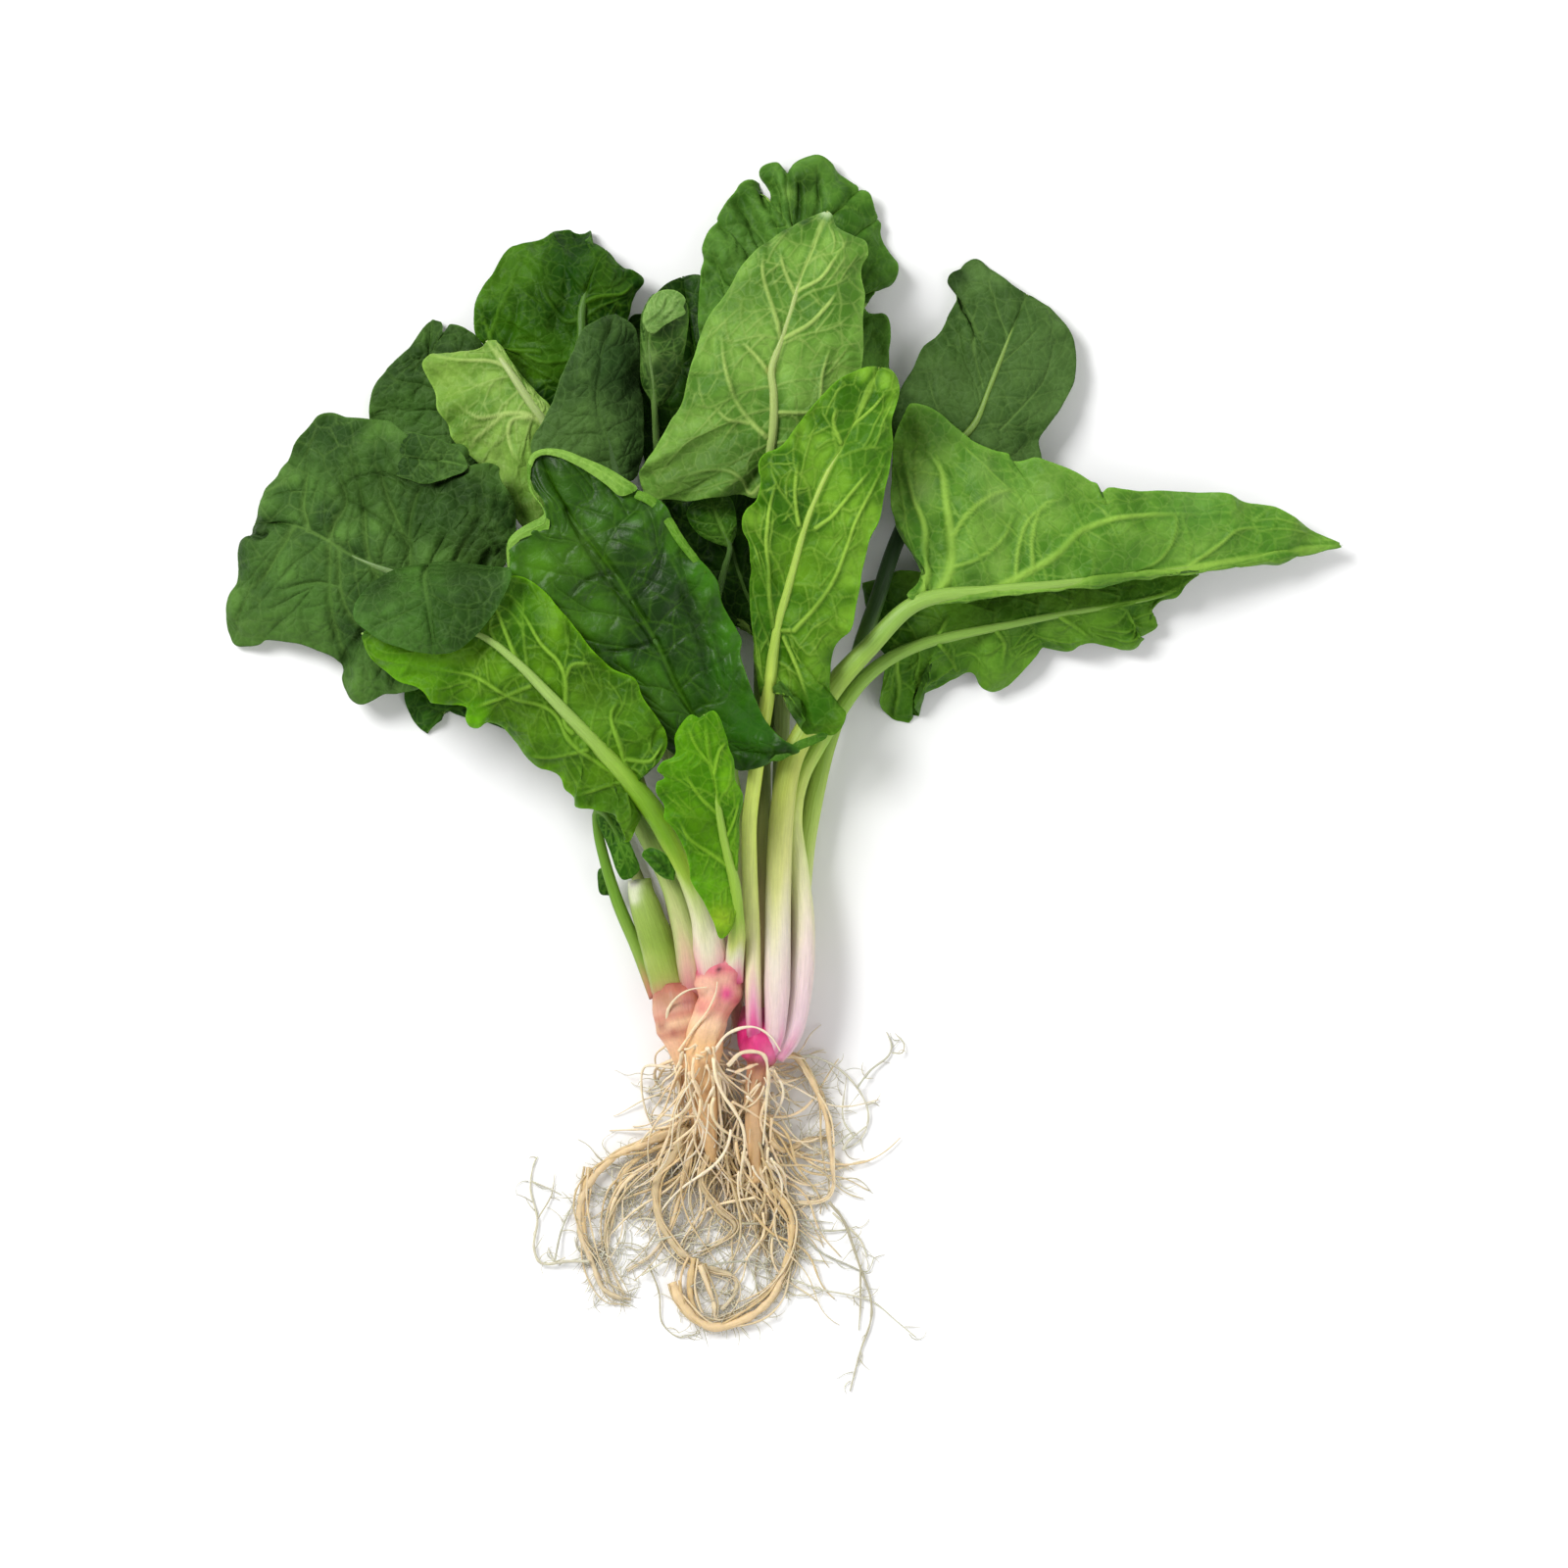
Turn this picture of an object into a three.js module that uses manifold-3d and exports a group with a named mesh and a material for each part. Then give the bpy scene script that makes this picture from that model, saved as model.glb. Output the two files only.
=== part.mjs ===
// A bunch of root-on spinach lying on a table: three plants held close together, their crowns
// side by side, their leaves fanned out to +Y and their washed roots trailing to -Y.
// Millimetres. +X is right and +Y is up as the bunch is looked down on, +Z is up from the table.
import * as THREE from "three";
import Module from "manifold-3d";
import { mergeVertices } from "three/addons/utils/BufferGeometryUtils.js";

const BLADE_THICKNESS = 1.2;
const BLADE_BULGE = 1.5; // how far a half blade arches up between its rib and its margin
const BLADE_STATIONS = 11; // sections from the base of a blade to its tip
const BLADE_COLUMNS = 7; // points across a blade, margin to margin
const BLADE_END = 0.985; // the tip is cut this far along, so that it ends in a small blunt face
const STALK_STATIONS = 6; // sections from a crown to the base of a blade
const STALK_FLATNESS = 0.8; // height of a stalk over its width
const STALK_FADE = 0.12; // how far into the blade the round stalk melts away
const RIB_BIAS = 1.35; // above 1, the basal lobes fan out from a shorter piece of rib
const ROOT_SIDES = 7;
const CROWN_SIDES = 12;
const CROWN_GAP = 1; // between the end of a stalk and the top of its crown

// Middle of the outlines as they are drawn below; the finished bunch is moved by it, so that
// its bounding box stands centred on the origin.
const CENTRE = new THREE.Vector3(-0.94, -0.67, 0.01);

const LEAF_DARK = new THREE.Color(0.16, 0.3, 0.09);
const LEAF_GREEN = new THREE.Color(0.27, 0.45, 0.13);
const LEAF_PALE = new THREE.Color(0.5, 0.65, 0.28);
const CROWN_PINK = new THREE.Color(0.92, 0.55, 0.6);
const ROOT_TAN = new THREE.Color(0.88, 0.72, 0.5);

const wasm = await Module();
wasm.setup();

const vectors = (points) => points.map(([x, y, z]) => new THREE.Vector3(x, y, z));
const curve = (points) => new THREE.CatmullRomCurve3(vectors(points), false, "centripetal");

// A closed solid from equal rings of points: neighbouring rings are joined, and each end is
// closed with a fan from its middle.
function solidFromRings(rings) {
  const sides = rings[0].length;
  const position = rings.flat().flatMap((p) => [p.x, p.y, p.z]);
  const index = [];
  for (let i = 0; i + 1 < rings.length; i++) {
    for (let k = 0; k < sides; k++) {
      const a = i * sides + k;
      const b = i * sides + ((k + 1) % sides);
      index.push(a, b, a + sides, b, b + sides, a + sides);
    }
  }
  for (const end of [0, rings.length - 1]) {
    const middle = new THREE.Vector3();
    rings[end].forEach((p) => middle.add(p));
    middle.divideScalar(sides);
    const m = position.length / 3;
    position.push(middle.x, middle.y, middle.z);
    for (let k = 0; k < sides; k++) {
      const a = end * sides + k;
      const b = end * sides + ((k + 1) % sides);
      if (end === 0) index.push(m, b, a);
      else index.push(m, a, b);
    }
  }
  const geometry = new THREE.BufferGeometry();
  geometry.setAttribute("position", new THREE.Float32BufferAttribute(position, 3));
  geometry.setIndex(index);
  return geometry;
}

// The sideways and upward directions of a section whose path heads along `tangent`.
function sectionFrame(tangent) {
  const side = new THREE.Vector3(-tangent.y, tangent.x, 0).normalize();
  const up = new THREE.Vector3().crossVectors(tangent, side).normalize();
  return { side, up };
}

// The point at fraction q across a blade: -1 is the right margin, 0 the rib, 1 the left margin.
// Whatever would sink into the table is pressed flat on it.
function bladePoint(rib, margin, q, bulge) {
  const reach = Math.abs(q);
  const p = rib.clone().lerp(margin, reach);
  p.z += bulge * 4 * reach * (1 - reach);
  p.z = Math.max(p.z, BLADE_THICKNESS / 2);
  return p;
}

// A whole leaf as one solid: a flattened round stalk from the crown, which melts into a thin
// blade ruled from its rib to its two margins.
function leaf({ stalk, width, rib, left, right, bulge = BLADE_BULGE }) {
  const stalkCurve = curve(stalk);
  const ribCurve = curve(rib);
  const leftCurve = curve([rib[0], ...left, rib.at(-1)]);
  const rightCurve = curve([rib[0], ...right, rib.at(-1)]);
  const across = Array.from(
    { length: BLADE_COLUMNS },
    (_, j) => 1 - (2 * j) / (BLADE_COLUMNS - 1),
  );
  const stations = [];
  for (let i = 0; i < STALK_STATIONS; i++) {
    const u = i / STALK_STATIONS;
    const middle = stalkCurve.getPointAt(u);
    const half = THREE.MathUtils.lerp(width[0], width[1], u) / 2;
    stations.push({
      tangent: stalkCurve.getTangentAt(u),
      sheet: across.map(() => middle),
      half,
    });
  }
  for (let i = 0; i < BLADE_STATIONS; i++) {
    const u = (BLADE_END * i) / (BLADE_STATIONS - 1);
    const along = u ** RIB_BIAS;
    const middle = ribCurve.getPointAt(along);
    const edges = [rightCurve.getPointAt(u), leftCurve.getPointAt(u)];
    stations.push({
      tangent: ribCurve.getTangentAt(along),
      sheet: across.map((q) => bladePoint(middle, edges[q > 0 ? 1 : 0], q, bulge)),
      half: (width[1] / 2) * Math.max(0, 1 - u / STALK_FADE),
    });
  }
  const rings = stations.map(({ tangent, sheet, half }, i) => {
    const { side, up } = sectionFrame(tangent);
    const before = stations[Math.max(i - 1, 0)].sheet;
    const after = stations[Math.min(i + 1, stations.length - 1)].sheet;
    const offsets = sheet.map((p, j) => {
      const width = sheet[Math.max(j - 1, 0)].clone().sub(sheet[Math.min(j + 1, sheet.length - 1)]);
      const normal = after[j].clone().sub(before[j]).cross(width);
      if (normal.lengthSq() < 1e-6) return up.clone();
      return normal.normalize();
    });
    const round = (j, sign) => {
      const angle = (Math.PI * (j + 0.5)) / sheet.length;
      return side
        .clone()
        .multiplyScalar(half * Math.cos(angle))
        .addScaledVector(up, sign * half * STALK_FLATNESS * Math.sin(angle));
    };
    const skin = (j, sign) =>
      sheet[j]
        .clone()
        .addScaledVector(offsets[j], (sign * BLADE_THICKNESS) / 2)
        .add(round(j, sign));
    const top = sheet.map((_, j) => skin(j, 1));
    const bottom = sheet.map((_, j) => skin(j, -1)).reverse();
    return [...top, ...bottom];
  });
  return solidFromRings(rings);
}

// A round tapering rod along a path; `radii` are [across, up] pairs, one for each path point.
function rod(points, radii, sides, steps) {
  const path = curve(points);
  const size = curve(radii.map(([a, b]) => [a, b, 0]));
  const rings = [];
  for (let i = 0; i <= steps; i++) {
    const u = i / steps;
    const middle = path.getPoint(u);
    const { side, up } = sectionFrame(path.getTangent(u));
    const { x: half, y: high } = size.getPoint(u);
    rings.push(
      Array.from({ length: sides }, (_, k) => {
        const angle = (2 * Math.PI * k) / sides;
        const p = middle
          .clone()
          .addScaledVector(side, half * Math.cos(angle))
          .addScaledVector(up, high * Math.sin(angle));
        p.z = Math.max(p.z, 0);
        return p;
      }),
    );
  }
  return solidFromRings(rings);
}

// A root branch: a rod of one thickness that tapers to half at its far end.
function branch(points, radius) {
  const radii = points.map((_, i) => {
    const r = radius * (1 - (0.5 * i) / (points.length - 1));
    return [r, r];
  });
  return rod(points, radii, ROOT_SIDES, 2 * points.length);
}

function toManifold(geometry) {
  const merged = mergeVertices(geometry, 1e-4);
  return new wasm.Manifold(
    new wasm.Mesh({
      numProp: 3,
      vertProperties: merged.attributes.position.array,
      triVerts: new Uint32Array(merged.index.array),
    }),
  );
}

function fromManifold(solid) {
  const mesh = solid.getMesh();
  const geometry = new THREE.BufferGeometry();
  geometry.setAttribute("position", new THREE.BufferAttribute(mesh.vertProperties, 3));
  geometry.setIndex(new THREE.BufferAttribute(mesh.triVerts, 1));
  return geometry;
}

const joined = (geometries) => fromManifold(wasm.Manifold.union(geometries.map(toManifold)));

// ---------------------------------------------------------------- leaves of the right plant

const frontUpright = leaf({
  stalk: [[-8.2, -72.5, 18.5], [-8.6, -60, 20], [-9, -45, 21], [-9.8, -25, 21.8],
    [-9.8, -12, 22], [-8.3, 0, 22.5], [-6.5, 12, 23], [-4.8, 22, 25]],
  width: [4.8, 4.6],
  rib: [[-4.8, 22, 25], [-2, 42, 29], [2, 57, 32], [6.5, 73, 35], [12, 86, 37], [16.5, 94, 38],
    [20.5, 101, 38.8], [26, 107, 39], [33, 112.5, 38.5]],
  left: [[-8.5, 32, 27], [-9.7, 45, 30], [-10, 58, 32], [-9.8, 66, 34], [-12, 71.5, 35],
    [-10.8, 76, 36], [-8, 79, 36], [-6.3, 92, 37], [-1, 94.5, 38], [5, 103, 39], [12, 110, 39],
    [18, 115, 39], [24, 116.2, 39], [30, 115.5, 38.5]],
  right: [[0, 29, 27], [3, 23, 28], [4.5, 16.5, 29], [8.5, 12.7, 29.5], [14, 12.3, 29],
    [17.5, 18, 29], [14.5, 23, 30], [13.2, 29, 31], [14.5, 37, 33], [19.5, 43, 34], [21, 50, 35],
    [23, 61, 36], [27.5, 75, 38], [30.5, 88, 39], [31, 97, 39.5], [30.5, 102, 40]],
});

const centrePale = leaf({
  stalk: [[-7.8, -72.5, 12], [-6.8, -55, 12], [-6, -30, 12], [-6, 0, 12.5], [-6.5, 30, 15],
    [-6, 55, 20], [-5, 75, 25], [-4.5, 88, 27]],
  width: [4.6, 4.4],
  rib: [[-4.5, 88, 27], [-3, 100, 30], [-3.5, 114, 31], [-1, 124, 31], [2, 134, 30],
    [5, 143, 29], [9, 152, 27], [12.5, 161.7, 25]],
  left: [[-8, 81, 25], [-20, 79.5, 25], [-30, 78.5, 25], [-37, 77.5, 26], [-41, 84, 27],
    [-35, 97, 29], [-28, 112, 30], [-22, 131, 30], [-16, 140, 29], [-9, 150, 27], [1, 157, 25]],
  right: [[2, 86, 27], [12, 92, 28], [20, 105, 28], [22.6, 120, 29], [23.2, 135, 28],
    [24, 149, 26], [19, 155, 25], [15.5, 160, 25]],
});

const topLeaf = leaf({
  stalk: [[-2.4, -72.5, 12], [-1.8, -55, 10.5], [-1.5, -30, 9], [-1, 0, 8], [0, 30, 7.5],
    [2, 60, 8], [3, 84, 9]],
  width: [4.6, 4.4],
  rib: [[3, 84, 9], [2, 105, 11], [2, 125, 12], [2, 145, 12], [2, 160, 10], [1, 174, 5]],
  left: [[-10, 92, 9], [-20, 110, 9], [-24, 130, 9], [-23.5, 147, 8], [-22, 156, 7],
    [-17, 165, 4], [-10, 171.5, 1.5], [-4, 166, 2.5], [-5.5, 175, 0.3], [-2, 177.5, 0.3]],
  right: [[12, 88, 9], [24, 98, 9], [29.5, 110, 8], [30, 131.5, 7], [25, 136, 8], [32.7, 147, 4],
    [27, 159, 4], [20, 168, 4], [12, 175.5, 3], [5, 177.3, 3]],
});

const upperRight = leaf({
  stalk: [[2.8, -72.5, 9.6], [3.8, -50, 9.6], [7.7, -20, 10], [11.5, -5, 10], [14.5, 8, 10],
    [17.5, 22, 9.5], [20, 30, 11.5], [22.5, 39, 14.5], [27, 52, 15.5], [32, 67, 14.5],
    [40, 84, 12]],
  width: [4.4, 4.6],
  rib: [[40, 84, 12], [48, 94, 12], [55, 103, 12], [59, 112, 11], [63, 122, 10], [66.5, 131, 8],
    [70, 139, 5]],
  left: [[34, 88, 11], [31, 98, 10], [33.5, 111, 9], [40, 124, 7], [47, 132, 4], [50, 140, 1.5],
    [48, 144.5, 0.3], [55.5, 149, 0.3], [66, 141.5, 2.5]],
  right: [[52, 80, 11], [66, 82, 11], [73.5, 90, 10], [74, 99, 10], [82, 112, 7],
    [83.8, 121, 5], [81, 129, 5]],
});

const pointingRight = leaf({
  stalk: [[-2.2, -72.5, 19.5], [-1.8, -55, 21], [-1.5, -30, 21.5], [-0.5, -10, 21.5],
    [2, 5, 21.5], [7, 15, 21.5], [14, 26, 22], [24, 37, 23.5], [38, 50, 25]],
  width: [6.8, 6],
  rib: [[38, 50, 25], [60, 53.5, 24.5], [80, 55.5, 23], [100, 58.3, 20], [115, 60.2, 17],
    [135, 64, 12], [160, 66.4, 7]],
  left: [[35, 54, 24], [38, 58, 23], [33, 67.5, 22], [30.7, 80, 22], [31.5, 98, 22],
    [36, 107, 22], [44, 104.5, 22], [52, 98.5, 21], [65, 93, 20], [78, 90, 19], [88, 84, 18],
    [104, 82.5, 16], [129, 80, 12], [141, 77, 10], [151, 71.5, 9]],
  right: [[46, 48, 24], [60, 50.5, 23.5], [80, 52.5, 22], [100, 55.3, 19.5], [116, 57.5, 16],
    [130, 60, 12], [148, 62.3, 9]],
});

const lowerRight = leaf({
  stalk: [[3.2, -72.5, 15.5], [5, -58, 16.5], [5.5, -42, 16.5], [4, -25, 16], [2.8, -12, 15.5],
    [5, 0, 15.7], [9.5, 9, 16.4], [15, 18, 16.9], [22, 27.5, 16.8], [30, 34, 15.5]],
  width: [5.6, 5],
  rib: [[30, 34, 15.5], [45, 39.5, 14.5], [60, 43, 14], [80, 47, 13], [95, 49, 12],
    [107, 51.5, 11], [119, 58.5, 10]],
  left: [[25, 41, 8], [22, 50, 7.5], [23, 57, 7.5], [34, 59.5, 8], [50, 60, 9], [65, 62, 10],
    [80, 62, 10], [95, 60, 10], [108, 59.5, 10]],
  right: [[27.5, 25, 9], [30, 18, 2.5], [36.5, 15.3, 0.2], [38, 21.5, 2], [50, 28.5, 7],
    [60, 24.8, 5], [70, 31, 7], [82, 36, 7], [101, 37.3, 6], [109, 50, 8]],
  bulge: 0.6,
});

const frontDark = leaf({
  stalk: [[-12.7, -72.5, 10], [-13.4, -66, 8], [-12, -56, 8], [-11.3, -45, 11.5],
    [-12, -30, 13.5], [-12.9, -10, 17], [-14.5, 0, 22], [-15.5, 5, 26]],
  width: [3.6, 3.6],
  rib: [[-15.5, 5, 26], [-22, 12, 30], [-30, 25, 33], [-36.5, 39, 35], [-43, 50, 36],
    [-48, 58, 37], [-57, 69.5, 37], [-64, 80, 36], [-69.5, 92.8, 35]],
  left: [[-22, 7, 28], [-30, 14, 30], [-38, 24, 32], [-46, 33, 33], [-56, 42, 34],
    [-66, 51, 35], [-76, 58, 36], [-78.5, 66.5, 38], [-68, 71.5, 37], [-67, 76, 36.5],
    [-72.6, 87, 36]],
  right: [[-9, 3.3, 28], [-4, 4.8, 29.5], [4.5, 8, 31], [-1, 11.5, 31.5], [-8, 22, 33],
    [-12.5, 35.5, 35], [-14, 43, 36], [-19, 56, 38], [-27.5, 67, 38.5], [-34, 77.5, 38],
    [-42, 82, 36], [-58, 90, 35]],
});

// --------------------------------------------------------------- leaves of the front plant

const frontLeft = leaf({
  stalk: [[-20.9, -52.5, 22.5], [-22.5, -40, 26], [-26, -30, 29], [-30, -22, 31],
    [-36, -11, 34], [-42, -3, 36]],
  width: [6.2, 6],
  rib: [[-42, -3, 36], [-50, 6, 38], [-58, 14.5, 40], [-67, 24, 41], [-76, 33, 41],
    [-87, 41, 40.5], [-101, 43, 39], [-120, 41, 35]],
  left: [[-41, -13, 34], [-45, -18, 33], [-48, -10, 34], [-59.5, -8, 33], [-70, 2, 34],
    [-80, 13.5, 34], [-89, 15, 34], [-92, 20, 35], [-101, 22, 36], [-110, 27, 36],
    [-118.5, 35, 36]],
  right: [[-38, 2, 38], [-33.5, 8, 40], [-33, 12, 41], [-36, 17, 41.5], [-42, 28, 42],
    [-55, 37, 42], [-64, 49, 42], [-70, 55, 42], [-77, 57.5, 41], [-84, 54, 40],
    [-96, 49, 38.5], [-110, 45, 36.5]],
});

const youngFront = leaf({
  stalk: [[-14.3, -52.5, 23.5], [-13.4, -45, 27], [-13.5, -38, 31]],
  width: [5.6, 4.8],
  rib: [[-13.5, -38, 31], [-14, -30, 34], [-16, -22, 37], [-18, -12, 41], [-19.5, -1, 45],
    [-21, 5, 47], [-22.5, 18, 50]],
  left: [[-17, -46, 31.5], [-20, -41, 34], [-26.5, -29, 37.5], [-29, -19, 39], [-34, -10, 41],
    [-36.5, -4, 42], [-35, 1, 44], [-31, 7, 46], [-29, 15.5, 48], [-26, 18, 49]],
  right: [[-11.5, -30, 33], [-12.2, -22, 36], [-12, -12, 40], [-12, -5, 43], [-14.3, 3, 45.5],
    [-15.5, 10, 47.5], [-18, 17, 49]],
  bulge: 1,
});

const leftBroadBlade = leaf({
  stalk: [[-26.3, -52.5, 19.8], [-28.6, -42, 21], [-32.5, -30, 22], [-40, -15, 23],
    [-52, 5, 24], [-66, 24, 25], [-80, 42, 25], [-90, 52, 25]],
  width: [5, 4.6],
  rib: [[-90, 52, 25], [-100, 56, 25], [-112, 59, 24], [-124, 64, 21], [-134, 70, 18],
    [-143, 73, 13], [-152, 73, 7]],
  left: [[-92, 44, 23], [-96, 34, 20], [-102, 27, 16], [-112, 25, 11], [-121.5, 22, 8],
    [-127, 31, 6.5], [-136, 38, 6], [-148.5, 40.7, 3], [-157.5, 38.5, 0.3], [-160, 48, 0.4],
    [-155, 64, 3.5]],
  right: [[-84, 56, 26], [-77, 67, 27], [-78, 82, 27], [-84, 90, 26], [-98, 95.5, 25],
    [-110, 100, 23], [-127, 104.5, 18], [-136, 100, 14], [-147, 82, 10]],
});
// The basal lobe of the broad leaf stands up and folds forward over the tip of its neighbour.
const leftBroadLobe = leaf({
  stalk: [[-88, 62, 26], [-94, 62, 26], [-101, 61, 26]],
  width: [1.4, 1.4],
  rib: [[-101, 61, 26], [-102, 58.5, 36], [-101, 54, 44.5], [-100, 44, 46.5], [-99, 35, 45]],
  left: [[-97, 61, 30], [-80, 59.5, 40], [-77.5, 57.5, 45], [-80, 51, 46], [-86, 42, 46]],
  right: [[-106, 60, 30], [-116, 56, 33], [-123, 47, 38], [-119, 42, 42], [-108, 37, 44.5]],
  bulge: 1,
});
const leftBroad = joined([leftBroadBlade, leftBroadLobe]);

const centreMatte = leaf({
  stalk: [[-25, -52.5, 15], [-26, -35, 15.5], [-29, -10, 17], [-33, 20, 19], [-38, 50, 21],
    [-43, 72, 22], [-47, 84, 22]],
  width: [4, 4],
  rib: [[-47, 84, 22], [-50, 95, 24], [-53, 105, 25], [-53, 115, 25], [-51, 125, 24],
    [-48, 132.5, 21]],
  left: [[-55, 82, 23], [-64, 84, 24], [-70, 89, 25], [-72, 95, 25], [-68, 103, 25.5],
    [-60, 121, 26], [-57.5, 127, 25], [-53, 130.5, 23]],
  right: [[-43, 86, 20], [-41, 94, 18], [-40.5, 104, 17], [-41.5, 114, 17], [-42, 122, 18],
    [-43.5, 129, 20]],
});

const upperLeft = leaf({
  stalk: [[-20.8, -52.5, 14], [-21.4, -35, 12], [-27, -10, 10], [-38, 20, 9], [-48, 55, 9],
    [-55, 80, 10], [-59, 98, 12]],
  width: [4.2, 4.2],
  rib: [[-59, 98, 12], [-60, 110, 13], [-59, 120, 14], [-58, 128, 14], [-57.5, 136, 13],
    [-55, 143, 11], [-51, 151.5, 7]],
  left: [[-66, 98, 12], [-74, 104, 12], [-80, 112, 12], [-86, 122, 11], [-89, 133, 9],
    [-84, 146, 7], [-80, 152, 6], [-70, 156, 4], [-62, 159.5, 0.4], [-54, 153.5, 5]],
  right: [[-53, 98, 12], [-47, 106, 12], [-44, 116, 12], [-45, 128, 11], [-42, 139, 9],
    [-40, 143, 8], [-45, 147, 7]],
});

const backCentre = leaf({
  stalk: [[-16.4, -52.5, 12], [-16, -45, 9.5], [-14, -30, 7], [-11, 0, 5.5], [-9, 18, 5],
    [-9, 30, 4.5]],
  width: [4, 4],
  rib: [[-9, 30, 4.5], [-12, 50, 4.5], [-17, 75, 4.5], [-22, 100, 4], [-26, 125, 3.5],
    [-29, 144.5, 2]],
  left: [[-9.7, 42, 4], [-15, 48, 4], [-24, 44, 4], [-33, 54, 3.5], [-38, 80, 3], [-42, 105, 3],
    [-46, 125, 0.4], [-44, 133, 0.4], [-37, 138, 2]],
  right: [[-6, 38, 4], [-4.5, 50, 4], [-4, 75, 4], [-7, 100, 4], [-12, 120, 4], [-17, 136, 4],
    [-24, 144.5, 2]],
  bulge: 0.6,
});

const rolledYoung = leaf({
  stalk: [[-24.3, -52.5, 9.5], [-24, -30, 6.5], [-27, 0, 6.5], [-30, 20, 7.5], [-32.5, 40, 9],
    [-35.5, 70, 10.5], [-36.3, 90, 12], [-37, 106, 19]],
  width: [2.2, 2.2],
  rib: [[-37, 106, 19], [-38, 115, 22], [-37, 124, 26], [-34.5, 132, 30], [-33, 137, 34],
    [-33, 137, 38], [-34, 130, 40]],
  left: [[-40, 112, 22], [-41, 122, 28], [-40, 130, 33], [-38.5, 135.5, 37], [-38.5, 133, 40]],
  right: [[-34, 110, 21], [-30.5, 118, 24], [-28.5, 127, 28], [-27.5, 134, 33],
    [-28, 134, 38]],
  bulge: -1,
});

const smallOval = leaf({
  stalk: [[-20.2, -52.5, 8.7], [-19, -30, 6], [-17, 0, 8], [-16.5, 30, 10], [-15.5, 50, 13],
    [-15.5, 66, 17]],
  width: [2.2, 2.2],
  rib: [[-15.5, 66, 17], [-18, 72, 18], [-20, 77, 18], [-21.5, 81.5, 17]],
  left: [[-20, 67.5, 17], [-24.5, 70, 17], [-27.5, 75, 17], [-25.5, 79.5, 17]],
  right: [[-13.8, 70, 17], [-13.4, 75, 17], [-15, 79.5, 17], [-18, 81.8, 17]],
  bulge: 1,
});

// ---------------------------------------------------------------- leaves of the left plant

const yellow = leaf({
  stalk: [[-28.6, -61.5, 11.5], [-29.6, -50, 12.5], [-31.5, -36, 14], [-36, -20, 15], [-44, 0, 15],
    [-52, 25, 15], [-58, 50, 16], [-63, 75, 17.5], [-66, 92, 20], [-67.5, 100, 21]],
  width: [4.2, 4],
  rib: [[-67.5, 100, 21], [-73, 108, 21.5], [-79, 117, 21], [-85, 125, 18.5]],
  left: [[-64, 90, 20], [-64, 78, 19.5], [-67, 71, 19.5], [-71, 69.5, 19.5], [-76, 74, 20],
    [-79, 82, 20], [-86, 89, 19], [-95, 97, 18], [-99.5, 109, 18], [-103.5, 119, 16],
    [-97, 122, 17]],
  right: [[-65.5, 103, 21], [-71, 111, 21.5], [-77, 119.5, 20.5], [-82, 125.5, 19]],
  bulge: 0.8,
});

const backLeft = leaf({
  stalk: [[-27.3, -61.5, 6], [-30, -45, 6.5], [-36, -20, 7], [-46, 10, 7], [-60, 40, 7],
    [-76, 65, 6.5], [-86, 82, 6]],
  width: [4, 4],
  rib: [[-86, 82, 6], [-93, 95, 6], [-98, 108, 5.5], [-102, 120, 4], [-101, 132, 2]],
  left: [[-98, 78, 4], [-110, 84, 3], [-118, 94, 1.5], [-119, 103, 0.3], [-118, 111, 0.4],
    [-111, 120, 2], [-105, 127.5, 2]],
  right: [[-82, 92, 6], [-82, 105, 6], [-84, 118, 6], [-88, 127, 5], [-96, 130, 3]],
  bulge: 0.8,
});

const backLow = leaf({
  stalk: [[-32.6, -61.5, 4.6], [-38, -40, 4.4], [-46, -20, 4.2], [-56, -4, 4], [-66, 9, 4]],
  width: [3.6, 3.6],
  rib: [[-66, 9, 4], [-78, 17, 3.5], [-90, 21, 3], [-98, 19, 2], [-103, 13, 1.2]],
  left: [[-72, 8, 3.5], [-80, 14, 3], [-88, 17.5, 2.5], [-95, 19, 2], [-99.5, 17, 1.5]],
  right: [[-66, 16, 3.5], [-76, 28, 2], [-90, 34, 1.5], [-102, 31, 1.2], [-109, 25, 0.4],
    [-107.5, 18, 0.4]],
  bulge: 0.5,
});

const thinLeft = leaf({
  stalk: [[-38, -61.3, 6.5], [-42.5, -48, 8], [-47.5, -36, 10], [-51, -25, 12],
    [-53.5, -14, 14], [-53.5, -9.5, 16.5]],
  width: [3, 2.4],
  rib: [[-53.5, -9.5, 16.5], [-51, -10.5, 19], [-48.5, -14.5, 20], [-46.5, -20, 20.5],
    [-43.5, -28.5, 19.5]],
  left: [[-51, -7.5, 19.5], [-47.5, -10, 20.5], [-45, -16, 21], [-42.5, -22, 21],
    [-41.3, -26, 20]],
  right: [[-53.5, -12, 18], [-51.5, -16, 19], [-49.5, -21, 19.5], [-47.5, -27, 19.5]],
  bulge: 0.6,
});

// A thick old leaf stalk, broken off short of its blade.
const cutStalk = rod(
  [[-35.4, -61.5, 12.5], [-37.8, -50, 12.5], [-40.5, -38, 12.8], [-42, -27.5, 13]],
  [[4, 3.4], [4.3, 3.5], [4.1, 3.4], [3.8, 3.2]],
  CROWN_SIDES,
  6,
);

// ------------------------------------------------------------------------ crowns and roots

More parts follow.
